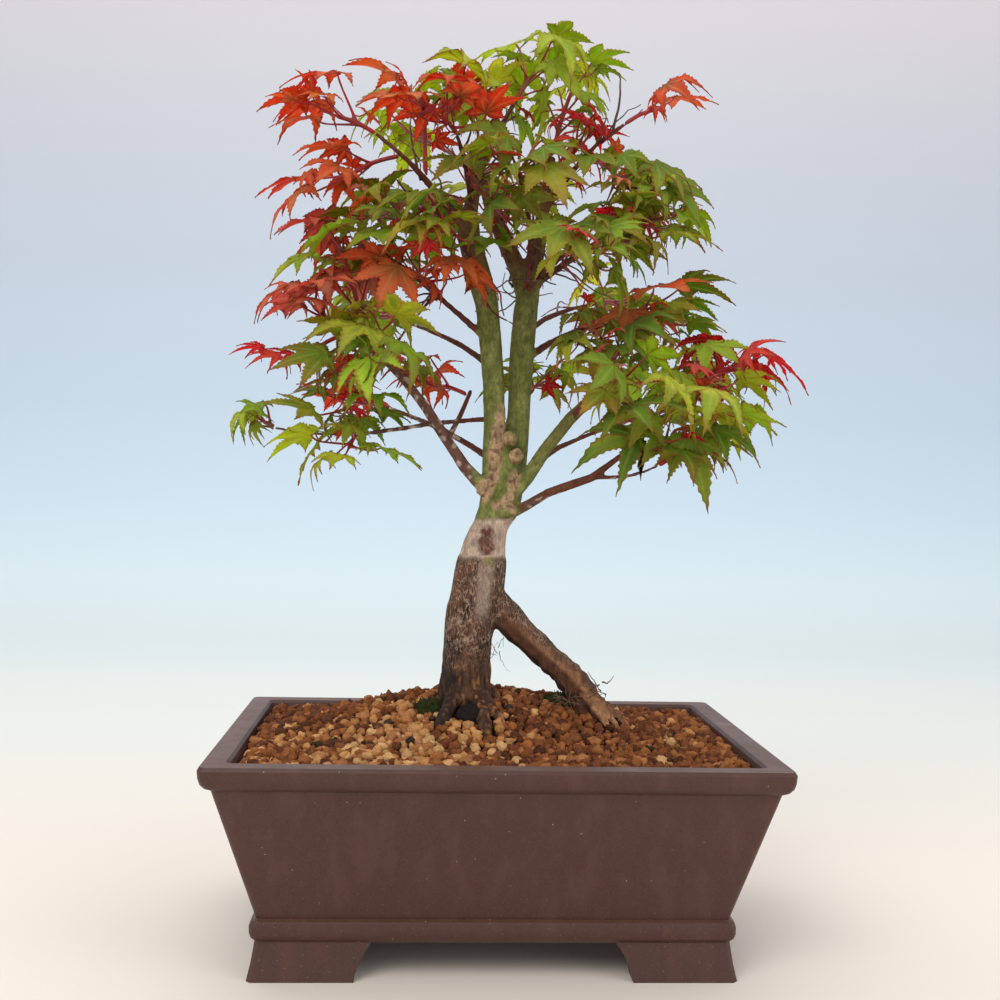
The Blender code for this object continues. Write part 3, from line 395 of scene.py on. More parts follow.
def leaf_material(name, underside):
    m = Nodes(name)
    tint = m.attribute("tint")
    mottle = m.ramp(m.noise(1.5, 4, 0.62), (0.3, 0.84), (0.7, 1.2))
    colour = m.blend(1.0, tint, mottle, "MULTIPLY")
    in_lobe = m.axes(m.attribute("vein"))
    slant = m.math("MULTIPLY", in_lobe["Y"], VEIN_SLANT)
    phase = m.math("SUBTRACT", m.math("MULTIPLY", in_lobe["X"], VEINS), slant)
    wave = m.node("Math", {0: m.math("MULTIPLY", phase, 2 * math.pi)}, operation="COSINE")
    ribs = m.ramp(wave.outputs[0], (0.82, 0.0), (1.0, 1.0))
    midrib = m.ramp(in_lobe["Y"], (0.05, 1.0), (0.14, 0.0))
    ribs = m.math("MAXIMUM", m.math("MULTIPLY", ribs, 0.3), m.math("MULTIPLY", midrib, 0.8))
    pale = m.blend(0.6, colour, (218, 210, 140))
    colour = m.blend(m.math("MULTIPLY", ribs, 0.5), colour, pale)
    if underside:
        colour = m.blend(0.24, colour, (172, 178, 110))
    bump = m.bump(ribs, 0.22, 0.7)
    bump = m.bump(m.noise(0.7, 3, 0.6), 0.05, 0.7, bump)
    m.set(Base_Color=colour, Roughness=0.62 if underside else 0.46, Normal=bump)
    m.set(Specular_IOR_Level=0.17)
    glow = m.node("BsdfTranslucent", {"Color": m.blend(0.5, colour, tint), "Normal": bump})
    both = m.node("MixShader", {"Fac": GLOW, 1: m.shader.outputs[0], 2: glow.outputs[0]})
    m.feed(m.output.inputs["Surface"], both.outputs[0])
    return m.material


def stalk_material():
    m = Nodes("stalk")
    mottle = m.ramp(m.noise(1.2, 4, 0.6), (0.3, 0.75), (0.7, 1.25))
    colour = m.blend(1.0, m.attribute("tint"), mottle, "MULTIPLY")
    m.set(Base_Color=colour, Roughness=0.42, Normal=m.bump(m.noise(0.6, 2, 0.5), 0.05, 0.6))
    return m.material


def akadama_material():
    m = Nodes("akadama")
    mottle = m.ramp(m.noise(1.1, 5, 0.7), (0.28, 0.66), (0.5, 1.0), (0.72, 1.32))
    colour = m.blend(1.0, m.attribute("tint"), mottle, "MULTIPLY")
    dust = m.ramp(m.noise(0.5, 3, 0.6), (0.55, 0.0), (0.75, 0.45))
    colour = m.blend(dust, colour, (196, 146, 100))
    bump = m.bump(m.noise(0.9, 4, 0.65), 0.45, 0.9)
    bump = m.bump(m.noise(0.4, 3, 0.6), 0.12, 0.9, bump)
    m.set(Base_Color=colour, Roughness=0.95, Normal=bump, Specular_IOR_Level=0.15)
    return m.material


def simple_material(name, dark, light, size, roughness, bump=0.1, metallic=0.0):
    m = Nodes(name)
    colour = m.blend(m.noise(size, 4, 0.6), dark, light)
    m.set(Base_Color=colour, Roughness=roughness, Normal=m.bump(m.noise(size * 0.5), bump, 0.8))
    m.set(Metallic=metallic, Specular_IOR_Level=0.2)
    return m.material


STONEWARE = stoneware_material()
BARK = bark_material()
BLADE_TOP = leaf_material("leaf_top", False)
BLADE_UNDER = leaf_material("leaf_underside", True)
STALK = stalk_material()
AKADAMA = akadama_material()
STONE = simple_material("dark_stone", (15, 11, 9), (38, 31, 26), 2.4, 0.8, 0.4)
MOSS = simple_material("moss", (14, 18, 6), (56, 62, 18), 1.6, 0.85, 0.3)
SCREEN = simple_material("screen_mesh", (26, 26, 27), (52, 52, 54), 1.2, 0.5)
CLIP = simple_material("clip_wire", (150, 152, 156), (196, 198, 202), 2.0, 0.34, 0.05, 1.0)


# Leaves

# For each tone: faces to choose from, then the margin, the tips, the veins, and the red and the
# brown of its shoots.
TONES = {
    "green": (
        ((128, 168, 28), (164, 192, 44), (100, 146, 28), (192, 200, 62), (142, 176, 34),
         (112, 152, 30)),
        (206, 176, 56), (184, 82, 44), (206, 214, 96), (160, 44, 44), (128, 72, 46),
    ),
    "lime": (
        ((186, 202, 52), (206, 210, 70), (166, 192, 44), (150, 184, 44)),
        (208, 164, 62), (178, 92, 48), (224, 222, 124), (164, 52, 46), (130, 82, 50),
    ),
    "orange": (
        ((240, 88, 50), (248, 112, 70), (232, 72, 44), (226, 120, 60)),
        (224, 70, 46), (188, 60, 40), (250, 170, 108), (172, 36, 44), (140, 44, 40),
    ),
    "salmon": (
        ((238, 124, 100), (246, 148, 130), (228, 104, 80), (240, 112, 108)),
        (210, 78, 70), (180, 66, 52), (246, 188, 156), (176, 40, 54), (134, 46, 44),
    ),
    "crimson": (
        ((234, 40, 60), (242, 66, 84), (216, 30, 48)),
        (202, 28, 46), (150, 24, 36), (246, 116, 120), (180, 24, 46), (134, 26, 36),
    ),
}
FULL = (20, 3)  # rows from hub to tip, and columns from the midrib to one edge
SMALL = (12, 2)
RIM_POINTS = (10, 14)  # tips and notches round a CAD blade of five and of seven lobes
MOST_SPARE = 4  # further points that a stalk or twig through a blade may add to its rim
HUBS_APART = 1.6 * MM  # no two blades' hubs are nearer
SCRAP = 7.5 * MM**2  # a larger face left in a spray is part of a cut blade
NARROW = {"notch": 0.2, "width": 0.092, "rise": 0.86, "tooth": 0.016}  # of seven lobes
BROAD = {"notch": 0.3, "width": 0.15, "rise": 1.05, "tooth": 0.027}
LOBE_FALL = 1.5
LEAF_THICKNESS = 0.24 * MM
STALK_SWELL = 0.13 * MM  # adds back what rounding takes off a stalk
YOUNG_SHARE = 0.9  # small extra leaves for each leaf of the CAD spray
YOUNG_STALK = 0.3 * MM


def fan(vert):
    """A vertex's neighbours in the order of its faces."""
    follows = {}
    for face in vert.link_faces:
        corners = list(face.verts)
        i = corners.index(vert)
        follows[corners[(i + 1) % 3]] = corners[(i + 2) % 3]
    first = vert.link_edges[0].other_vert(vert)
    ring = [first]
    while len(ring) < len(follows) and ring[-1] in follows:
        ring.append(follows[ring[-1]])
    return ring


def shaped_ring(hub, ring):
    """The ring turned to start at the right lobe if it has a leaf's outline, or None."""
    reach = [(v.co - hub.co).length for v in ring]
    sinus = reach.index(min(reach))
    ring = ring[sinus + 1:] + ring[: sinus + 1]
    reach = reach[sinus + 1:] + reach[: sinus + 1]
    middle = (len(ring) - 2) // 2
    tips, notches = reach[0:-1:2], reach[1:-1:2]
    inward = all(n < 0.94 * min(tips[i], tips[i + 1]) for i, n in enumerate(notches))
    if not inward or reach[middle] < 0.75 * max(reach) or max(notches) > 0.7 * reach[middle]:
        return None
    uneven = max(abs(a - b) for a, b in zip(reach[:-1], reach[-2::-1]))
    return ring if uneven < 0.16 * max(reach) else None


def leaf_ring(vert, spare):
    """The rim of the blade with this centre, leaving out that many points of its fan."""
    if len(vert.link_edges) - spare not in RIM_POINTS:
        return None
    ring = fan(vert)
    if len(set(ring)) != len(vert.link_edges):
        return None
    for extra in itertools.combinations(range(len(ring)), spare):
        kept = shaped_ring(vert, [v for i, v in enumerate(ring) if i not in extra])
        if kept:
            return kept
    return None


def leaf_rings(bm):
    """The centre and the rim of each blade of a spray, whole ones before pierced ones."""
    found = []
    for spare in range(MOST_SPARE + 1):
        for vert in bm.verts:
            near = any((vert.co - hub.co).length < HUBS_APART for hub, _ in found)
            ring = None if near else leaf_ring(vert, spare)
            if ring:
                found.append((vert, ring))
    return found


class Blade:
    """One leaf's blade, with its lobes drawn finely between the points of its CAD fan."""

    def __init__(self, hub, ring, rng, narrow, fineness=FULL):
        self.rows, self.columns = fineness
        points = [Vector(v) for v in ring]
        self.normal = Vector()
        for a, b in zip(points, points[1:]):
            self.normal += (a - hub).cross(b - hub)
        self.normal.normalize()
        ahead = points[(len(points) - 1) // 2] - hub
        size = rng.uniform(0.74, 1.0)
        tilt = Matrix.Rotation(rng.gauss(-0.05, 0.24), 3, self.normal.cross(ahead))
        tilt = tilt @ Matrix.Rotation(rng.gauss(0, 0.3), 3, ahead)
        points = [hub + tilt @ (p - hub) * size for p in points]
        self.normal = tilt @ self.normal
        ahead = tilt @ ahead
        self.length = ahead.length * size
        self.ahead = (ahead - ahead.dot(self.normal) * self.normal).normalized()
        self.side = self.normal.cross(self.ahead)
        self.hub = hub
        self.rng = rng
        self.form = NARROW if narrow else BROAD
        self.local = [self.to_local(p) for p in points]
        self.verts, self.faces, self.marks = [], [], []
        self.arch = rng.uniform(0.0, 0.14)
        self.twist = rng.uniform(-0.16, 0.16)
        self.fold = rng.uniform(0.1, 0.42)
        self.curl = rng.uniform(0.02, 0.2) if rng.random() < 0.66 else rng.uniform(0.25, 0.6)
        self.plump = rng.uniform(0.92, 1.22)
        self.notch_row = round(self.rows * self.form["notch"])
        tips = self.local[0::2]
        back = Vector((-0.035 * self.length, 0, 0))
        notches = [back, *self.local[1::2], back]
        for i, tip in enumerate(tips):
            self.add_lobe(tip, notches[i], notches[i + 1], i in (0, len(tips) - 1))

    def to_local(self, point):
        d = point - self.hub
        return Vector((d.dot(self.ahead), d.dot(self.side), d.dot(self.normal)))

    def width(self, along, reach):
        """Half the width of a lobe at a share of its reach."""
        broad = self.form["width"] * reach * self.plump
        rise, fall = self.form["rise"], LOBE_FALL
        peak = rise / (rise + fall)
        top = peak**rise * (1 - peak) ** fall
        return broad * along**rise * (1 - along) ** fall / top

    def edge(self, axis, reach, notch, sign, basal, phase):
        """Points up one side of a lobe: (share of its reach, across, height or None, place)."""
        across_axis = Vector((-axis.y, axis.x, 0)) * sign
        flat = Vector((notch.x, notch.y, 0))
        rows = []
        start = max(0.0, flat.dot(axis) / reach)
        gap = abs(flat.dot(across_axis))
        for k in range(self.rows + 1):
            if k <= self.notch_row:
                t = k / self.notch_row
                rows.append((start * t, gap * t, notch.z * t, flat * t))
                continue
            u = (k - self.notch_row) / (self.rows - self.notch_row)
            share = start + (1 - start) * u
            bulge = gap - self.width(start, reach) if start > 0.02 else gap
            across = self.width(share, reach) + bulge * (1 - u) ** 2.4
            if basal and u < 0.3:
                across = min(across, gap + 0.34 * share * reach)
            tooth = self.form["tooth"] * self.length * (1 - u) ** 0.5
            if k < self.rows:
                across += tooth * (1 if (k + phase) % 2 else -0.6)
                share += 0.012 * (1 if (k + phase) % 2 else 0)
            else:
                across = 0.0
            across = max(across, 0.0)
            rows.append((share, across, None, axis * share * reach + across_axis * across))
        return rows

    def add_lobe(self, tip, left_out, right_out, basal):
        """A strip of quads: (right edge | midrib | left edge), row by row to the tip."""
        flat = Vector((tip.x, tip.y, 0))
        reach = flat.length
        axis = flat / reach
        bow = self.rng.uniform(-0.05, 0.05) * reach
        sag = self.rng.uniform(0.6, 1.3) * self.curl * self.length
        ripple = self.rng.uniform(0, 6.28)
        wave = self.rng.uniform(0.006, 0.02) * self.length
        right = self.edge(axis, reach, left_out, -1, basal, 0)
        left = self.edge(axis, reach, right_out, 1, basal, 1)
        start = len(self.verts)
        wide = 2 * self.columns + 1
        side_axis = Vector((-axis.y, axis.x, 0))
        for k in range(self.rows + 1):
            share = (k / self.rows) ** 0.96
            centre = axis * share * reach + side_axis * bow * share * (1 - share) * 4
            fall = tip.z * share**1.5
            for c in range(wide):
                out = (c - self.columns) / self.columns
                edge = right[k] if out < 0 else left[k]
                lerp = abs(out)
                point = centre.lerp(edge[3], lerp)
                spread = edge[1] if edge[2] is None else edge[1] * 0.6
                z = fall + (edge[2] - fall) * lerp if edge[2] is not None else fall
                along = share + (edge[0] - share) * lerp
                z += self.fold * spread * (lerp**1.6 if edge[2] is None else lerp * (1 - lerp))
                z += wave * lerp**2 * math.sin(along * 17 + ripple + out * 1.3) * (edge[2] is None)
                z -= sag * max(0.0, along - 0.5) ** 2 * 3.2
                self.verts.append(self.bend(point, z))
                self.marks.append((along, lerp, reach / self.length))
        for k in range(self.rows):
            for c in range(wide - 1):
                a = start + k * wide + c
                b = a + wide
                self.faces.append((a, a + 1, b + 1, b))

    def bend(self, point, z):
        x, y = point.x, point.y
        z -= self.arch * x * abs(x) / self.length * 0.6
        z += self.twist * x * y / self.length
        return self.hub + self.ahead * x + self.side * y + self.normal * z


def blade_colours(marks, tone, rng):
    """A colour for each point of a blade: face, veins, margin, tips and blotches."""
    faces, margin, tips, veins = TONES[tone][:4]
    marks = np.array(marks)
    along, aside, size = marks[:, 0], marks[:, 1], marks[:, 2]
    base = linear(rng.choice(faces)) * rng.uniform(0.95, 1.65)
    other = linear(rng.choice(faces)) * 1.15
    patch = rng.uniform(0, 6.28)
    cloud = np.sin(along * 5 + patch) * np.cos(aside * 2.4 + size * 9 + patch * 2)
    colour = np.tile(np.clip(base, 0, 0.9), (len(marks), 1))
    colour = coated(colour, (other, smoothstep(-0.3, 0.9, cloud) * 0.7))
    aged = rng.random()
    if tone == "green" and aged > 0.62:
        colour = coated(colour, ((190, 176, 66), smoothstep(0.2, 0.9, along) * 0.55))
    if tone == "green" and aged < 0.2:
        colour = coated(colour, ((206, 84, 56), smoothstep(0.1, 0.8, along) * 0.42))
    if tone in ("orange", "salmon"):
        near = 1 - smoothstep(0.0, 0.5, along)
        colour = coated(colour, ((122, 112, 48), near * rng.uniform(0.1, 0.6)))
    rim = tips if rng.random() < 0.5 else margin
    rim_share = smoothstep(0.62, 1.0, aside) * rng.uniform(0.35, 0.85)
    dry = rng.uniform(0.2, 0.95)
    return coated(
        colour,
        (veins, (1 - smoothstep(0.0, 0.16, aside)) * 0.42),
        (rim, rim_share),
        (tips, smoothstep(0.84 - 0.1 * dry, 1.0, along) * dry),
    )


def thickened(verts, faces, marks):
    """The sheet with an underside and a rim: points, faces, marks and each face's side."""
    mesh = bpy.data.meshes.new("sheet")
    mesh.from_pydata([tuple(v) for v in verts], [], faces)
    mesh.update()
    co, normal = surface(mesh)
    bpy.data.meshes.remove(mesh)
    count = len(co)
    edges = {(a, b): None for face in faces for a, b in zip(face, face[1:] + face[:1])}
    rim = [(a, b) for a, b in edges if (b, a) not in edges]
    under = [tuple(reversed([i + count for i in face])) for face in faces]
    sides = [(b, a, a + count, b + count) for a, b in rim]
    every = list(faces) + under + sides
    index = [0] * len(faces) + [1] * (len(under) + len(sides))
    return np.vstack([co, co - normal * LEAF_THICKNESS]), every, list(marks) * 2, index


def joined(verts, faces, marks):
    """The blade with its doubled points along the inner edges made one."""
    seen, new_of, kept, kept_marks = {}, [], [], []
    for point, mark in zip(verts, marks):
        key = tuple(round(c * 2e5) for c in point)
        if key not in seen:
            seen[key] = len(kept)
            kept.append(point)
            kept_marks.append(mark)
        new_of.append(seen[key])
    made = []
    for face in faces:
        corners = []
        for i in face:
            if not corners or new_of[i] != corners[-1]:
                corners.append(new_of[i])
        if corners[0] == corners[-1]:
            corners.pop()
        if len(set(corners)) >= 3 and len(set(corners)) == len(corners):
            made.append(tuple(corners))
    return kept, made, kept_marks


def stalks(bm, name):
    """What is left of a spray once its blades are gone, rounded."""
    loose = [e for e in bm.edges if e.is_boundary]
    bmesh.ops.holes_fill(bm, edges=loose, sides=6)
    bmesh.ops.recalc_face_normals(bm, faces=bm.faces)
    obj = object_of(bm, name)
    mesh = baked(obj, ("SUBSURF", {"levels": 2, "render_levels": 2}))
    co, normal = surface(mesh)
    co = co + normal * STALK_SWELL
    faces = [tuple(p.vertices) for p in mesh.polygons]
    bpy.data.objects.remove(obj)
    bpy.data.meshes.remove(mesh)
    return co, faces


def blade_part(blade, tone, rng):
    """A finished blade as (points, faces, marks, material of each face, colours)."""
    verts, quads, marks = joined(blade.verts, blade.faces, blade.marks)
    colours = blade_colours(marks, tone, rng)
    points, faces, marks, index = thickened(verts, quads, marks)
    return points, faces, marks, index, np.vstack([colours, colours])


def stalk_part(points, faces, colours):
    """Stalks in the same form: they have no veins and the third material."""
    return points, faces, np.zeros((len(points), 3)), [2] * len(faces), colours


def young_leaf(co, pattern, tone, rng):
    """A small leaf on its own stalk, from somewhere on the shoot: its parts, or none."""
    ring, hub = pattern
    foot = Vector(co[rng.randrange(len(co))])
    turn = Matrix.Identity(3)
    for axis, most in (("Z", 1.5), ("X", 0.5), ("Y", 0.4)):
        turn = turn @ Matrix.Rotation(rng.uniform(-most, most), 3, axis)
    scale = rng.uniform(0.34, 0.66)
    arms = [turn @ (v - hub) * scale for v in ring]
    ahead = arms[(len(arms) - 1) // 2].normalized()
    rise = Vector((0, 0, rng.uniform(0.1, 0.9)))
    top = foot + (ahead * rng.uniform(0.5, 1.0) + rise).normalized() * rng.uniform(4, 10) * MM
    reach = 20 * scale * MM
    if any(not CAD_LOW[k] + reach < top[k] < CAD_HIGH[k] - reach for k in range(3)):
        return []
    blade = Blade(top, [top + v for v in arms], rng, len(ring) > 9, SMALL)
    if tone in ("green", "lime") and rng.random() < 0.34:
        tone = rng.choice(("crimson", "orange", "salmon"))
    shares = (0, 0.25, 0.5, 0.75, 1.0)
    path = [foot.lerp(top, t) + Vector((0, 0, -3.2 * MM * t * (1 - t))) for t in shares]
    verts, faces = wire(path, [YOUNG_STALK] * len(path))
    stalk = stalk_part(np.array(verts), faces, plain(TONES[tone][4], len(verts)))
    return [stalk, blade_part(blade, tone, rng)]


def take_blades(bm):
    """Cuts the blades out of a spray and closes up their stalks: each blade's rim and hub."""
    gone, blades = set(), []
    for hub, ring in leaf_rings(bm):
        rim, under = set(ring), set()
        for v in ring:
            for e in v.link_edges:
                other = e.other_vert(v)
                if other not in rim and other is not hub:
                    under.add(other)
        blades.append(([v.co.copy() for v in ring[:-1]], hub.co.copy()))
        top = sum((v.co for v in under), Vector()) / max(1, len(under))
        lift = (hub.co - top) * 0.8
        if lift.length < 2 * MM:
            for v in under:
                v.co += lift
        gone |= rim | {hub}
    bmesh.ops.delete(bm, geom=list(gone), context="VERTS")
    scraps = [f for f in bm.faces if f.calc_area() > SCRAP]
    bmesh.ops.delete(bm, geom=scraps, context="FACES")
    return blades


def merged(parts):
    """The parts as one: points, faces, marks, material of each face, and colours."""
    offset, faces, index = 0, [], []
    for points, own_faces, _, own_index, _ in parts:
        faces += [tuple(i + offset for i in f) for f in own_faces]
        index += own_index
        offset += len(points)
    rows = [np.vstack([np.array(part[k], float) for part in parts]) for k in (0, 2, 4)]
    return rows[0], faces, rows[1], index, rows[2]


def make_spray(name, tone):
    """One shoot: its stalks from the CAD node, its blades drawn anew, and young leaves."""
    rng = random.Random(name)
    bm = welded(name)
    blades = take_blades(bm)
    co, faces = stalks(bm, name + "_stalks")
    red, brown = TONES[tone][4:]
    hue = smoothstep(-0.5, 0.6, noise_at(co, 9, 3.0))
    parts = [stalk_part(co, faces, coated(red, (brown, hue)))]
    for ring, hub in blades:
        parts.append(blade_part(Blade(hub, ring, rng, len(ring) > 9), tone, rng))
    for _ in range(round(len(blades) * YOUNG_SHARE)):
        parts += young_leaf(co, rng.choice(blades), tone, rng)
    verts, faces, marks, index, tints = merged(parts)
    verts = np.clip(verts, np.array(CAD_LOW) + 0.1 * MM, np.array(CAD_HIGH) - 0.1 * MM)
    looks = [BLADE_TOP, BLADE_UNDER, STALK]
    obj = mesh_object("look_" + name, verts, faces, looks, index, tints)
    paint(obj.data, "vein", marks)
    install(obj, "leaf_" + tone, name)


# Wood

# Heights over the ground between which one kind of wood gives way to the next, in mm.
FOOT_TOP = (96, 112)
LEG_TOP = (116, 126)
STRIPE_FOOT = (116, 126)
PALE_FOOT = (140, 143)
BARK_TOP = (154, 160)
GREEN_FOOT = (156, 158.5)
CROWN_FOOT = (236, 262)
LIMB_FORK = 164
RING_HEIGHT = 140.5  # dark ring where the pale band begins
BARK_VOXEL = 0.62 * MM
MOST_RELIEF = 1.6  # mm
TWIG_THICKNESS = (3.0, 5.2)  # wood this thin is a twig, and wood this thick isn't, in mm
DEEPEST = 8.0  # mm

# Corky ridges, each as points and half its width in mm.
RIDGES = (
    ([place(2.8, -5, 198), place(0.2, -7, 186), place(-1.2, -8, 175), place(-6, -6, 166)], 2.3),
    ([place(8, -6, 175), place(4.2, -8, 164)], 1.1),
    ([place(0, -8, 163), place(7, -7, 161)], 1.0),
)
# Knobs where shoots were cut, each as a place and a radius in mm.
KNOBS = (
    (place(4.8, -8.5, 187.6), 1.7),
    (place(6.6, -8.5, 181.5), 2.6),
    (place(5.0, -8, 161.5), 1.7),
    (place(-6.2, -7, 166.6), 2.4),
)
SCAR = place(-3.2, -9, 149)
SCAR_PATCH = place(-2.2, -9, 141.4)
BURL = place(-14, -10, 114)


def distance(co, centre, stretch=(1, 1, 1)):
    """Distance in mm from each row to a point."""
    return np.linalg.norm((co - np.array(centre)) * stretch, axis=1) / MM


def line_distance(co, points):
    """Least distance in mm from each row to a line through the points."""
    best = np.full(len(co), 1e9)
    for a, b in zip(points, points[1:]):
        a, b = np.array(a), np.array(b)
        t = np.clip(((co - a) @ (b - a)) / ((b - a) @ (b - a)), 0, 1)
        best = np.minimum(best, np.linalg.norm(co - a - t[:, None] * (b - a), axis=1))
    return best / MM


def wood_zones(co, normal):
    """How far each point of the tree belongs to each of its parts, and its noises."""
    on = SimpleNamespace()
    z = on.z = (co[:, 2] - POT_LOW.z) / MM
    x = on.x = (co[:, 0] - POT_CENTRE.x) / MM
    wander = on.wander = noise_at(co, 9, 15)
    on.grooves = noise_at(co, 2.0, 1, (1, 1, 0.2))
    on.strands = noise_at(co, 3.4, 7, (1, 1, 0.3))
    on.crags = noise_at(co, 6, 2, (1, 1, 0.5))
    on.lumps = noise_at(co, 14, 3)
    on.front = smoothstep(-0.1, 0.45, -normal[:, 1])
    on.foot = 1 - smoothstep(*FOOT_TOP, z + 3 * wander)
    on.leg = smoothstep(1, 5, x) * (1 - smoothstep(*LEG_TOP, z + 0.9 * (x - 6)))
    on.bark = 1 - smoothstep(*BARK_TOP, z + 2 * wander)
    on.trunk = on.bark * (1 - on.foot)
    on.green = smoothstep(*GREEN_FOOT, z + 1.2 * wander)
    on.pale = smoothstep(*PALE_FOOT, z + 1.6 * wander) * (1 - on.green)
    on.cork = np.zeros(len(co))
    for points, half in RIDGES:
        off = line_distance(co, points) + noise_at(co, 3, 5)
        on.cork = np.maximum(on.cork, (1 - smoothstep(half, half + 1.6, off)) * on.front)
    on.knob = np.zeros(len(co))
    for centre, half in KNOBS:
        off = distance(co, centre) + 0.5 * noise_at(co, 2, 6)
        on.knob = np.maximum(on.knob, 1 - smoothstep(half, half + 1.2, off))
    on.burl = 1 - smoothstep(4.0, 7.5, distance(co, BURL))
    off = distance(co, SCAR, (1, 0.5, 0.62)) + 0.8 * noise_at(co, 2.2, 9)
    on.scar = (1 - smoothstep(3.0, 4.1, off)) * on.front
    on.patch = (1 - smoothstep(1.6, 2.8, distance(co, SCAR_PATCH))) * on.front
    left = smoothstep(0, 1.6, -5.8 - 0.3 * (z - 166) - x) * (z > LIMB_FORK) * (z < 245)
    right = smoothstep(10.5, 12.5, x) * (z < LIMB_FORK + 0.3 * (x - 10)) * (z > 150)
    on.limb = np.maximum(left, right)
    return on


def wood_relief(on, co):
    """How far the surface stands off the CAD solid, in mm."""
    depth = on.trunk * (0.22 * on.grooves + 0.34 * on.crags + 0.6 * on.lumps)
    depth += on.foot * (0.9 * np.abs(on.strands) - 0.5 + 0.5 * on.crags)
    depth += on.cork * (0.35 + 0.5 * np.abs(noise_at(co, 1.6, 8)))
    depth += on.knob * (0.9 + 0.35 * noise_at(co, 1.5, 18))
    depth += on.burl * (0.5 + 0.7 * noise_at(co, 2.4, 19))
    depth += (1 - on.bark) * 0.14 * on.lumps
    depth -= on.pale * 0.35
    depth += on.scar * (0.25 * on.grooves - 0.5)
    return np.minimum(depth, MOST_RELIEF)


def trunk_colours(on, co):
    stripe = smoothstep(0.0, 0.8, 1 - np.abs(on.x + 3.5 - 0.1 * (on.z - 135)) / 4.5)
    return coated(
        (90, 60, 46),
        ((58, 36, 27), smoothstep(-0.3, 0.4, on.crags + 0.5 * on.lumps) * 0.85),
        ((118, 74, 54), smoothstep(0.0, 0.6, noise_at(co, 8, 23)) * 0.6),
        ((202, 184, 168), stripe * smoothstep(*STRIPE_FOOT, on.z) * 0.6),
    )


def foot_colours(on, co):
    worn = smoothstep(0.35, 0.6, noise_at(co, 1.8, 14, (1, 1, 0.5)))
    return coated(
        (88, 60, 44),
        # Painted shade in the grooves between the root strands.
        ((40, 27, 22), smoothstep(-0.35, 0.4, -np.abs(on.strands) + 0.2) * 0.9),
        ((166, 108, 62), worn * 0.7),
    )


def leg_colours(on, normal):
    # Painted highlight on the upper side of the leg, facing up and to the right, and painted shade
    # on its underside.
    upward = smoothstep(-0.2, 0.7, normal[:, 2] + 0.5 * normal[:, 0])
    return coated(
        (104, 66, 46),
        ((174, 126, 88), smoothstep(124, 100, on.z) * upward),
        ((72, 48, 38), smoothstep(0.0, 0.7, -normal[:, 2]) * 0.7),
        # Painted shade in the grooves between the root strands at the foot.
        ((60, 40, 32), smoothstep(0.1, 0.6, -np.abs(on.strands) + 0.35) * on.foot),
    )


def green_colours(co):
    return coated(
        (116, 122, 62),
        ((142, 146, 86), smoothstep(-0.4, 0.7, noise_at(co, 7, 11)) * 0.7),
        ((92, 98, 46), smoothstep(0.1, 0.8, noise_at(co, 3, 12)) * 0.5),
    )


def limb_colours(co):
    flakes = smoothstep(0.22, 0.45, noise_at(co, 2.2, 17))
    return coated((112, 78, 68), ((206, 188, 170), flakes * 0.75))


def wood_colours(on, co, normal, thin):
    ring = np.exp(-((on.z + 1.6 * on.wander - RING_HEIGHT) ** 2) / 1.6)
    flecks = smoothstep(0.1, 0.6, noise_at(co, 1.5, 16))
    return coated(
        trunk_colours(on, co),
        (foot_colours(on, co), on.foot),
        (leg_colours(on, normal), on.leg),
        ((214, 190, 170), on.pale * (0.82 - 0.2 * on.wander)),
        ((92, 66, 54), ring * (on.z < 150) * (on.z > 132) * 0.6),
        (green_colours(co), on.green),
        ((188, 154, 122), np.maximum(on.cork, on.knob * 0.8) * 0.92),
        ((116, 82, 60), np.maximum(on.cork, on.knob) * flecks * 0.8),
        ((186, 160, 146), on.burl * smoothstep(0.1, 0.6, noise_at(co, 3, 20))),
        # Painted shade: the far left of the foot, below 112 mm, goes nearly black.
        ((34, 28, 24), smoothstep(-11, -15, on.x + 2 * on.wander) * (on.z < 112) * 0.75),
        ((104, 58, 44), np.maximum(smoothstep(*CROWN_FOOT, on.z) * 0.8, thin)),
        (limb_colours(co), on.limb),
        ((94, 40, 31), on.scar * (0.97 - 0.2 * np.abs(on.grooves))),
        ((138, 138, 78), on.patch * 0.85),
    )


def thinness(mesh):
    """1 where the wood is a twig, 0 where it is a limb, by its thickness."""
    verts = [v.co.copy() for v in mesh.vertices]
    tree = BVHTree.FromPolygons(verts, [tuple(p.vertices) for p in mesh.polygons])
    rows = np.zeros(len(verts))
    for i, v in enumerate(mesh.vertices):
        inward = -v.normal
        across = tree.ray_cast(v.co + inward * 0.05 * MM, inward, DEEPEST * MM)[3]
        rows[i] = DEEPEST if across is None else across / MM
    return 1 - smoothstep(*TWIG_THICKNESS, rows)


def make_tree():
    obj = object_of(welded("tree"), "look_tree")
    mesh = baked(obj, ("REMESH", {"mode": "VOXEL", "voxel_size": BARK_VOXEL}),
                 ("SMOOTH", {"factor": 0.5, "iterations": 4}))
    co, normal = surface(mesh)
    on = wood_zones(co, normal)
    set_coordinates(mesh, co + normal * wood_relief(on, co)[:, None] * MM)
    thin = thinness(mesh) * (on.z > 120)
    paint(mesh, "tint", wood_colours(on, co, normal, thin))
    rough = 0.22 + 0.78 * np.maximum(on.bark, on.cork) + 0.25 * on.limb
    net = on.trunk * (1 - on.pale * 0.6) * (1 - on.leg)
    paint(mesh, "relief", np.column_stack([np.clip(rough, 0, 1), net, np.zeros(len(co))]))
    dress(mesh, BARK)
    install(obj, "bark", "tree")


# Soil

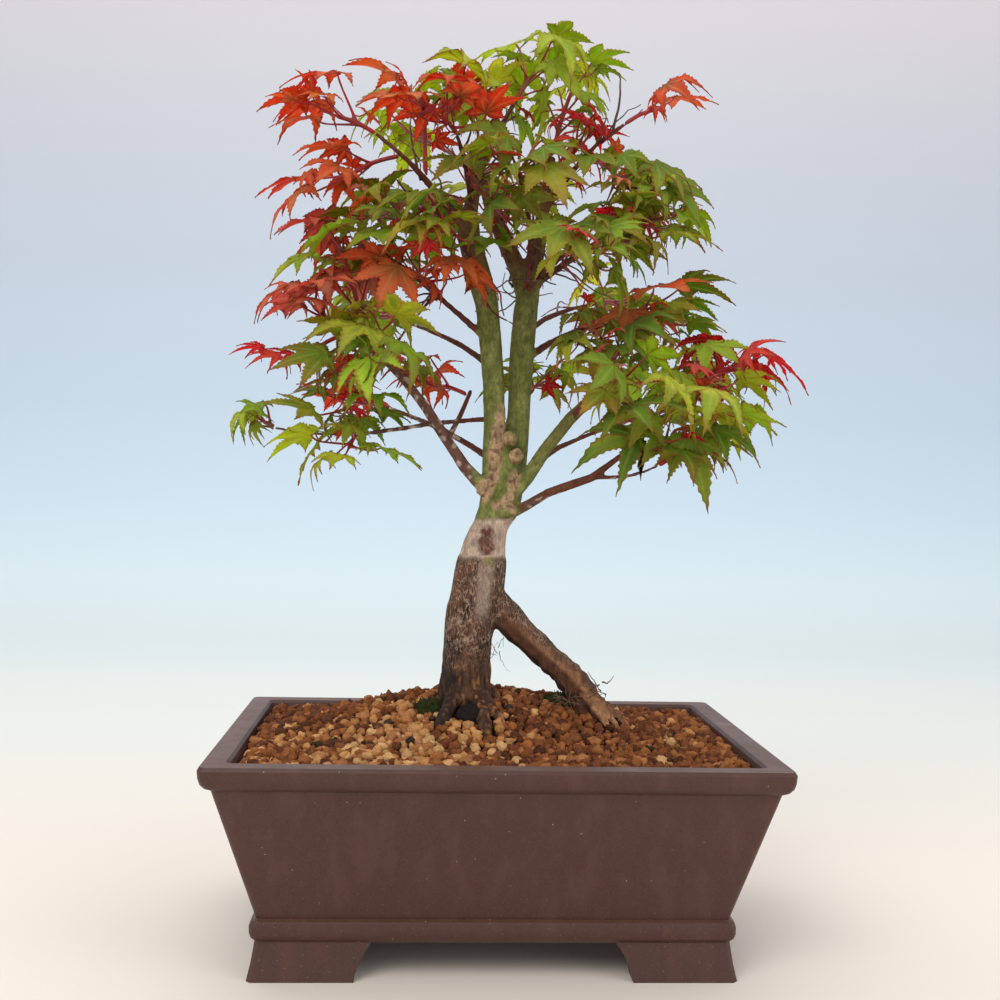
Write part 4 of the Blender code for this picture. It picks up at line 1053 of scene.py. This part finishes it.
# Layers of granules: how many, least and most radius in mm, and how far each is lifted.
GRANULE_LAYERS = ((2300, 1.4, 2.3, 0.1), (1500, 1.1, 2.1, 0.8), (3200, 0.5, 1.1, 0.7))
GRANULE_SHAPES = 24
GRANULE_PIECES = 3
GRANULE_SCALE = ((0.85, 1.25), (0.8, 1.1), (0.7, 1.0))
LUMPINESS = ((0.5, 1.1), (0.42, 3.1), (0.3, 6.0))  # height and waves of each noise
PACKING = 0.72  # least distance between two granules, as a share of both radii
WOOD_GAP = 0.55  # least distance to the wood, as a share of the radius
WOOD_SEARCH = 12 * MM
CELL = 4 * MM  # of the grid that finds a granule's neighbours
SOIL_TONES = {
    "tan": [(196, 144, 92), (184, 130, 80), (206, 160, 108), (172, 116, 70)],
    "orange": [(152, 92, 50), (136, 80, 43), (164, 106, 60), (122, 70, 39)],
    "red": [(110, 62, 38), (94, 52, 32), (124, 72, 42), (80, 45, 30)],
    "black": [(40, 32, 26), (56, 46, 38)],
    "white": [(216, 196, 160)],
}


def ball(level):
    bm = bmesh.new()
    bmesh.ops.create_icosphere(bm, subdivisions=level, radius=1.0)
    verts = np.array([v.co for v in bm.verts])
    faces = np.array([[v.index for v in f.verts] for f in bm.faces])
    bm.free()
    return verts, faces


def soil_tone(p, rng):
    """Which colour a granule has, by where it lies."""
    x = (p.x - POT_CENTRE.x) / MM
    y = (p.y - POT_CENTRE.y) / MM
    left = 1 / (1 + math.exp((x + 8) / 10))
    front = 1 / (1 + math.exp((y + 4) / 10))
    heap = math.exp(-((x + 20) ** 2 / 500 + (y + 20) ** 2 / 500))
    pale = 0.03 + 0.66 * left * front + 0.42 * heap
    far_left = 1 / (1 + math.exp((x + 46) / 6))
    draw = rng.random()
    if draw < 0.005 + 0.06 * math.exp(-((x + 58) ** 2 / 90 + (y + 26) ** 2 / 60)):
        return "black"
    if draw > 0.9995:
        return "white"
    if rng.random() < pale * (1 - 0.45 * far_left):
        return "tan"
    return "red" if rng.random() < 0.5 + 0.3 * far_left * (1 - front) else "orange"


def wood_and_stone():
    """What granules can't lie inside, as a search tree."""
    bm = bmesh.new()
    for name in ("tree", "dark_stone"):
        bm.from_mesh(frame["nodes"][name].data)
    tree = BVHTree.FromBMesh(bm)
    bm.free()
    return tree


def in_the_way(p, r, obstacles):
    spot, outward, _, gap = obstacles.find_nearest(p, WOOD_SEARCH)
    if spot is None:
        return False
    return (p - spot).dot(outward) < 0 or gap < WOOD_GAP * r * MM


def neighbours(grid, cell):
    for step in itertools.product((-1, 0, 1), repeat=3):
        yield from grid.get(tuple(c + s for c, s in zip(cell, step)), ())


def scatter_granules(rng):
    """Places, and radii in mm, of granules over the soil's top, the largest first."""
    bm = welded("akadama_soil")
    tops = [f for f in bm.faces if f.normal.z > 0.35]
    areas = [f.calc_area() for f in tops]
    corners = [[v.co.copy() for v in f.verts] for f in tops]
    bm.free()
    obstacles = wood_and_stone()
    low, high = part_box("akadama_soil")
    placed, grid = [], {}
    for count, least, most, lift in GRANULE_LAYERS:
        made = 0
        for pick in rng.choices(range(len(corners)), weights=areas, k=count * 3):
            if made == count:
                break
            a, b, c = corners[pick][:3]
            u, v = rng.random(), rng.random()
            if u + v > 1:
                u, v = 1 - u, 1 - v
            p = a + (b - a) * u + (c - a) * v
            r = rng.uniform(least, most)
            p = p + Vector((0, 0, (rng.uniform(-0.5, 0.6) + lift) * r * 0.7 * MM))
            inside = all(low[k] + r * MM < p[k] < high[k] - r * MM for k in (0, 1))
            if not inside or in_the_way(p, r, obstacles):
                continue
            cell = tuple(int(value / CELL) for value in p)
            near = neighbours(grid, cell)
            if any((q - p).length < (other + r) * PACKING * MM for q, other in near):
                continue
            grid.setdefault(cell, []).append((p, r))
            placed.append((p, r))
            made += 1
    return placed


def granule_shapes(sphere):
    """Lumpy, rather square shapes made from a ball's points."""
    squared = np.sign(sphere) * np.abs(sphere) ** 0.78
    shapes = []
    for k in range(GRANULE_SHAPES):
        shift = Vector((k * 3.7, k * 1.9, -k * 2.3))
        swell = np.ones(len(sphere))
        for height, waves in LUMPINESS:
            bumps = [noise.noise(Vector(v) * waves + shift) for v in sphere]
            swell += height * np.array(bumps)
        shapes.append(squared * swell[:, None])
    return shapes


def make_granules():
    rng = random.Random(41)
    placed = scatter_granules(rng)
    sphere, sphere_faces = ball(2)
    shapes = granule_shapes(sphere)
    for piece in range(GRANULE_PIECES):
        verts, faces, tints = [], [], []
        for n, (p, r) in enumerate(placed[piece::GRANULE_PIECES]):
            angle = rng.uniform(0, 6.28)
            axis = Vector([rng.uniform(-1, 1) for _ in range(3)]).normalized()
            scale = np.array([rng.uniform(*span) for span in GRANULE_SCALE])
            turn = np.array(Matrix.Rotation(angle, 3, axis))
            shape = (rng.choice(shapes) * scale * r * MM) @ turn.T
            verts.append(shape + np.array(p))
            faces.append(sphere_faces + n * len(sphere))
            tone = rng.choice(SOIL_TONES[soil_tone(p, rng)])
            tints.append(np.tile(linear(tone) * rng.uniform(0.85, 1.15), (len(sphere), 1)))
        obj = mesh_object(f"look_granules_{piece}", np.vstack(verts), np.vstack(faces),
                          [AKADAMA], tint=np.vstack(tints))
        install(obj, "akadama")


def make_soil_bed():
    """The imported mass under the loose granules, sunk a little below them."""
    bed = object_of(welded("akadama_soil"), "look_soil_bed")
    mesh = baked(bed, ("REMESH", {"mode": "VOXEL", "voxel_size": 1.6 * MM}))
    co, normal = surface(mesh)
    depth = smoothstep(0.2, 0.7, normal[:, 2]) * (0.5 * noise_at(co, 4, 21) - 0.9)
    set_coordinates(mesh, co + normal * depth[:, None] * MM)
    paint(mesh, "tint", plain((74, 42, 28), len(co)))
    dress(mesh, AKADAMA)
    install(bed, "akadama", "akadama_soil")


# Pot and small parts

POT_FLAT = math.radians(0.6)  # faces that meet at less are one
POT_SHARP = math.radians(28)  # edges that turn by more are worn
POT_EDGE = 0.8 * MM
TUFTS = 420
# Fine roots and litter: place, number, spread and length in mm, colour, and radii in mm.
HAIRS = (
    (place(0, -9, 108), 9, 5, 12, (70, 48, 38), (0.1, 0.2)),
    (place(40, -7, 95), 10, 6, 12, (86, 58, 42), (0.15, 0.35)),
    (place(26, -24, 92), 14, 14, 16, (96, 66, 46), (0.12, 0.25)),
    (place(-44, -40, 82), 4, 18, 9, (150, 124, 92), (0.1, 0.16)),
    (place(50, -40, 83), 5, 16, 10, (140, 112, 82), (0.1, 0.16)),
)
HAIR_STEPS = 7
TWIGS = 110
TWIG_STEPS = 8
TWIGS_FROM = 238 * MM  # lowest wood that bears them, over the ground
TWIG_COLOURS = ((96, 62, 46), (118, 44, 40), (84, 56, 44), (132, 92, 64), (140, 40, 42))


def make_pot():
    bm = welded("pot")
    bmesh.ops.dissolve_limit(bm, angle_limit=POT_FLAT, verts=bm.verts, edges=bm.edges)
    obj = object_of(bm, "look_pot")
    mesh = baked(obj, ("BEVEL", {"width": POT_EDGE, "segments": 3, "limit_method": "ANGLE",
                                 "angle_limit": POT_SHARP, "harden_normals": False}))
    dress(mesh, STONEWARE)
    obj.modifiers.new("Weighted", "WEIGHTED_NORMAL").keep_sharp = True
    install(obj, "stoneware", "pot")


def make_lump(name, material, slot, size, depth):
    """A CAD lump made uneven by noise of that size and depth in mm."""
    obj = object_of(welded(name), "look_" + name)
    mesh = baked(obj, ("SUBSURF", {"levels": 3, "render_levels": 3, "subdivision_type": "SIMPLE"}))
    co, normal = surface(mesh)
    relief = noise_at(co, size, 31) + 0.5 * noise_at(co, size / 2.4, 32)
    set_coordinates(mesh, co + normal * (relief * depth)[:, None] * MM)
    dress(mesh, material)
    install(obj, slot, name)
    return obj


def make_moss(name):
    """A cushion of moss with short pointed shoots all over it."""
    cushion = make_lump(name, MOSS, "moss", 2.0, 0.35)
    rng = random.Random(name)
    co, normal = surface(cushion.data)
    verts, faces = [], []
    for _ in range(TUFTS):
        i = rng.randrange(len(co))
        if normal[i, 2] < -0.2:
            continue
        lean = Vector((rng.uniform(-0.6, 0.6), rng.uniform(-0.6, 0.6), rng.uniform(0.0, 0.7)))
        up = (Vector(normal[i]) + lean).normalized()
        side = Matrix.Rotation(rng.uniform(0, 6.28), 3, up) @ up.orthogonal().normalized()
        across = up.cross(side)
        root = Vector(co[i])
        tall = rng.uniform(0.8, 1.9) * MM
        wide = rng.uniform(0.12, 0.24) * MM
        start = len(verts)
        for lift, share in ((-0.1, 1.0), (0.5, 0.8)):
            for k in range(3):
                angle = k * 2 * math.pi / 3
                spread = side * math.cos(angle) + across * math.sin(angle)
                verts.append(root + up * tall * lift + spread * wide * share)
        verts.append(root + up * tall + side * wide)
        for k in range(3):
            j = (k + 1) % 3
            faces.append((start + k, start + j, start + 3 + j, start + 3 + k))
            faces.append((start + 3 + k, start + 3 + j, start + 6))
    obj = mesh_object("look_" + name + "_tufts", [tuple(v) for v in verts], faces, [MOSS])
    install(obj, "moss")


def wandering(p, heading, step, count, bend, droop, rng):
    """Points of a thin line that wavers as it grows."""
    points = [p.copy()]
    for _ in range(count):
        heading += Vector([rng.gauss(0, bend) for _ in range(3)])
        heading.z -= droop
        heading.normalize()
        points.append(points[-1] + heading * step)
    return points


class Strands:
    """Thin tapering wires gathered into one piece."""

    def __init__(self, sides, taper):
        self.sides, self.taper = sides, taper
        self.verts, self.faces, self.tints = [], [], []

    def add(self, points, thick, colour):
        radii = [thick * (1 - self.taper * i) for i in range(len(points))]
        new, quads = wire(points, radii, self.sides)
        self.faces += [tuple(i + len(self.verts) for i in f) for f in quads]
        self.verts += new
        self.tints += [linear(colour)] * len(new)

    def finish(self, name):
        verts = np.clip(np.array(self.verts), np.array(CAD_LOW), np.array(CAD_HIGH))
        obj = mesh_object(name, verts, self.faces, [STALK], tint=np.array(self.tints))
        install(obj, "bark")


def make_hairs():
    """Fine roots and bits of dead twig at the foot of the trunk and on the soil."""
    rng = random.Random(7)
    hairs = Strands(5, 0.1)
    for centre, count, spread, long, colour, radii in HAIRS:
        for _ in range(count):
            p = centre + Vector([rng.gauss(0, spread * 0.5) * MM for _ in range(3)])
            p.z = centre.z + rng.uniform(-4, 1) * MM
            heading = Vector((rng.uniform(-1, 1), rng.uniform(-1, 0.4), rng.uniform(-0.5, 0.5)))
            heading.normalize()
            step = rng.uniform(0.5, 1.0) * long * MM / HAIR_STEPS
            points = wandering(p, heading, step, HAIR_STEPS, 0.35, 0.06, rng)
            hairs.add(points, rng.uniform(*radii) * MM, colour)
    hairs.finish("look_root_hairs")


def make_twigs():
    """Fine dead and living twigs tangled in the crown, growing from the wood."""
    rng = random.Random(19)
    wood = [v.co.copy() for v in frame["nodes"]["tree"].data.vertices]
    starts = [p for p in wood if p.z - POT_LOW.z > TWIGS_FROM]
    centre = place(0, 4, 262)
    twigs = Strands(6, 0.07)
    for _ in range(TWIGS):
        p = rng.choice(starts)
        heading = (p - centre) * 18 + Vector([rng.gauss(0, 0.6) for _ in range(3)])
        heading.z += 0.3
        heading.normalize()
        step = rng.uniform(1.2, 3.4) * MM
        points = wandering(p, heading, step, TWIG_STEPS, 0.22, 0.0, rng)
        twigs.add(points, rng.uniform(0.3, 0.6) * MM, rng.choice(TWIG_COLOURS))
    twigs.finish("look_crown_twigs")


def dress_drains():
    """The drains' CAD pieces keep their shape and get their materials."""
    for kind, material in (("drain_screen", SCREEN), ("screen_clip", CLIP)):
        for name, node in frame["nodes"].items():
            if name.startswith(kind):
                node.data.materials.clear()
                node.data.materials.append(material)


dress_drains()
make_pot()
make_granules()
make_soil_bed()
make_tree()
make_lump("dark_stone", STONE, "stone", 5.0, 0.5)
make_moss("moss_trunk")
make_moss("moss_leg")
make_hairs()
make_twigs()
for part in frame["record"]["subparts"]:
    if part["material_slot"].startswith("leaf_"):
        make_spray(part["node"], part["material_slot"].removeprefix("leaf_"))

# Stage, lights, camera

FLOOR_FRONT, FLOOR_BACK = -2.0, 0.9
BEND = 0.6  # radius of the curve from the floor up into the backdrop
WALL_TOP = 3.0
HALF_WIDTH = 4.0
SWEEP = (
    (0.0, (239, 230, 218)), (0.03, (231, 231, 222)), (0.07, (228, 234, 229)),
    (0.14, (222, 237, 240)), (0.22, (209, 227, 239)), (0.32, (202, 218, 231)),
    (0.5, (205, 214, 226)), (0.65, (213, 216, 224)), (0.85, (232, 225, 229)),
)
AIM = (0.0, 0.0, 0.15)
# Square lights: place, size, power and colour.
LIGHTS = {
    "key": ((-0.7, -1.2, 1.25), 1.0, 11.5, (1.0, 0.975, 0.93)),
    "fill": ((1.2, -0.9, 0.7), 1.2, 5.2, (0.99, 0.985, 0.98)),
    "top": ((-0.1, 0.35, 1.4), 1.1, 6.5, (0.99, 0.99, 1.0)),
}
WORLD_COLOUR = (0.95, 0.965, 1.0, 1.0)
WORLD_STRENGTH = 0.72
LENS = 48.58
CAMERA_PLACE = place(-27.81, -518.75, 169.81)
CAMERA_TURN, CAMERA_TILT, CAMERA_ROLL = -3.2779, -0.5607, 1.2169  # left, up, anticlockwise


def floor_and_backdrop():
    """A pale table that curves up into a pale backdrop."""
    profile = [(y, 0.0) for y in np.linspace(FLOOR_FRONT, FLOOR_BACK, 8)]
    for angle in np.linspace(0, 90, 14)[1:]:
        turn = math.radians(angle)
        profile.append((FLOOR_BACK + math.sin(turn) * BEND, BEND - math.cos(turn) * BEND))
    profile.append((FLOOR_BACK + BEND, WALL_TOP))
    verts = [(x, y, z) for y, z in profile for x in (-HALF_WIDTH, HALF_WIDTH)]
    faces = [(2 * i, 2 * i + 1, 2 * i + 3, 2 * i + 2) for i in range(len(profile) - 1)]
    m = Nodes("backdrop")
    spot = m.axes(m.position)
    behind = m.math("MULTIPLY", m.math("SUBTRACT", spot["Y"], 0.1), 0.13)
    behind = m.math("MINIMUM", m.math("MAXIMUM", behind, 0.0), 0.1)
    far = m.math("ADD", m.math("MULTIPLY", spot["Z"], 0.8), behind)
    m.set(Base_Color=m.ramp(far, *SWEEP), Roughness=0.9)
    obj = mesh_object("floor", verts, faces, [m.material])


def area_light(name, location, size, power, colour):
    data = bpy.data.lights.new(name, "AREA")
    data.shape = "RECTANGLE"
    data.size = data.size_y = size
    data.energy = power
    data.color = colour
    obj = linked(name, data)
    obj.location = location
    obj.rotation_euler = (Vector(AIM) - Vector(location)).to_track_quat("-Z", "Y").to_euler()


def camera():
    """Nearly level, in front of the pot and a little to its left."""
    data = bpy.data.cameras.new("camera")
    data.lens = LENS
    data.sensor_width = 36.0
    data.clip_start = 0.01
    turn = Matrix.Rotation(math.radians(CAMERA_TURN), 4, "Z")
    tilt = Matrix.Rotation(math.radians(90 + CAMERA_TILT), 4, "X")
    roll = Matrix.Rotation(math.radians(CAMERA_ROLL), 4, "Z")
    obj = linked("camera", data)
    obj.matrix_world = Matrix.Translation(CAMERA_PLACE) @ turn @ tilt @ roll
    bpy.context.scene.camera = obj


def world():
    made = bpy.data.worlds.new("studio")
    made.use_nodes = True
    background = made.node_tree.nodes["Background"]
    background.inputs["Color"].default_value = WORLD_COLOUR
    background.inputs["Strength"].default_value = WORLD_STRENGTH
    bpy.context.scene.world = made


floor_and_backdrop()
for light, settings in LIGHTS.items():
    area_light(light, *settings)
world()
camera()
bpy.context.scene.view_settings.view_transform = "Standard"
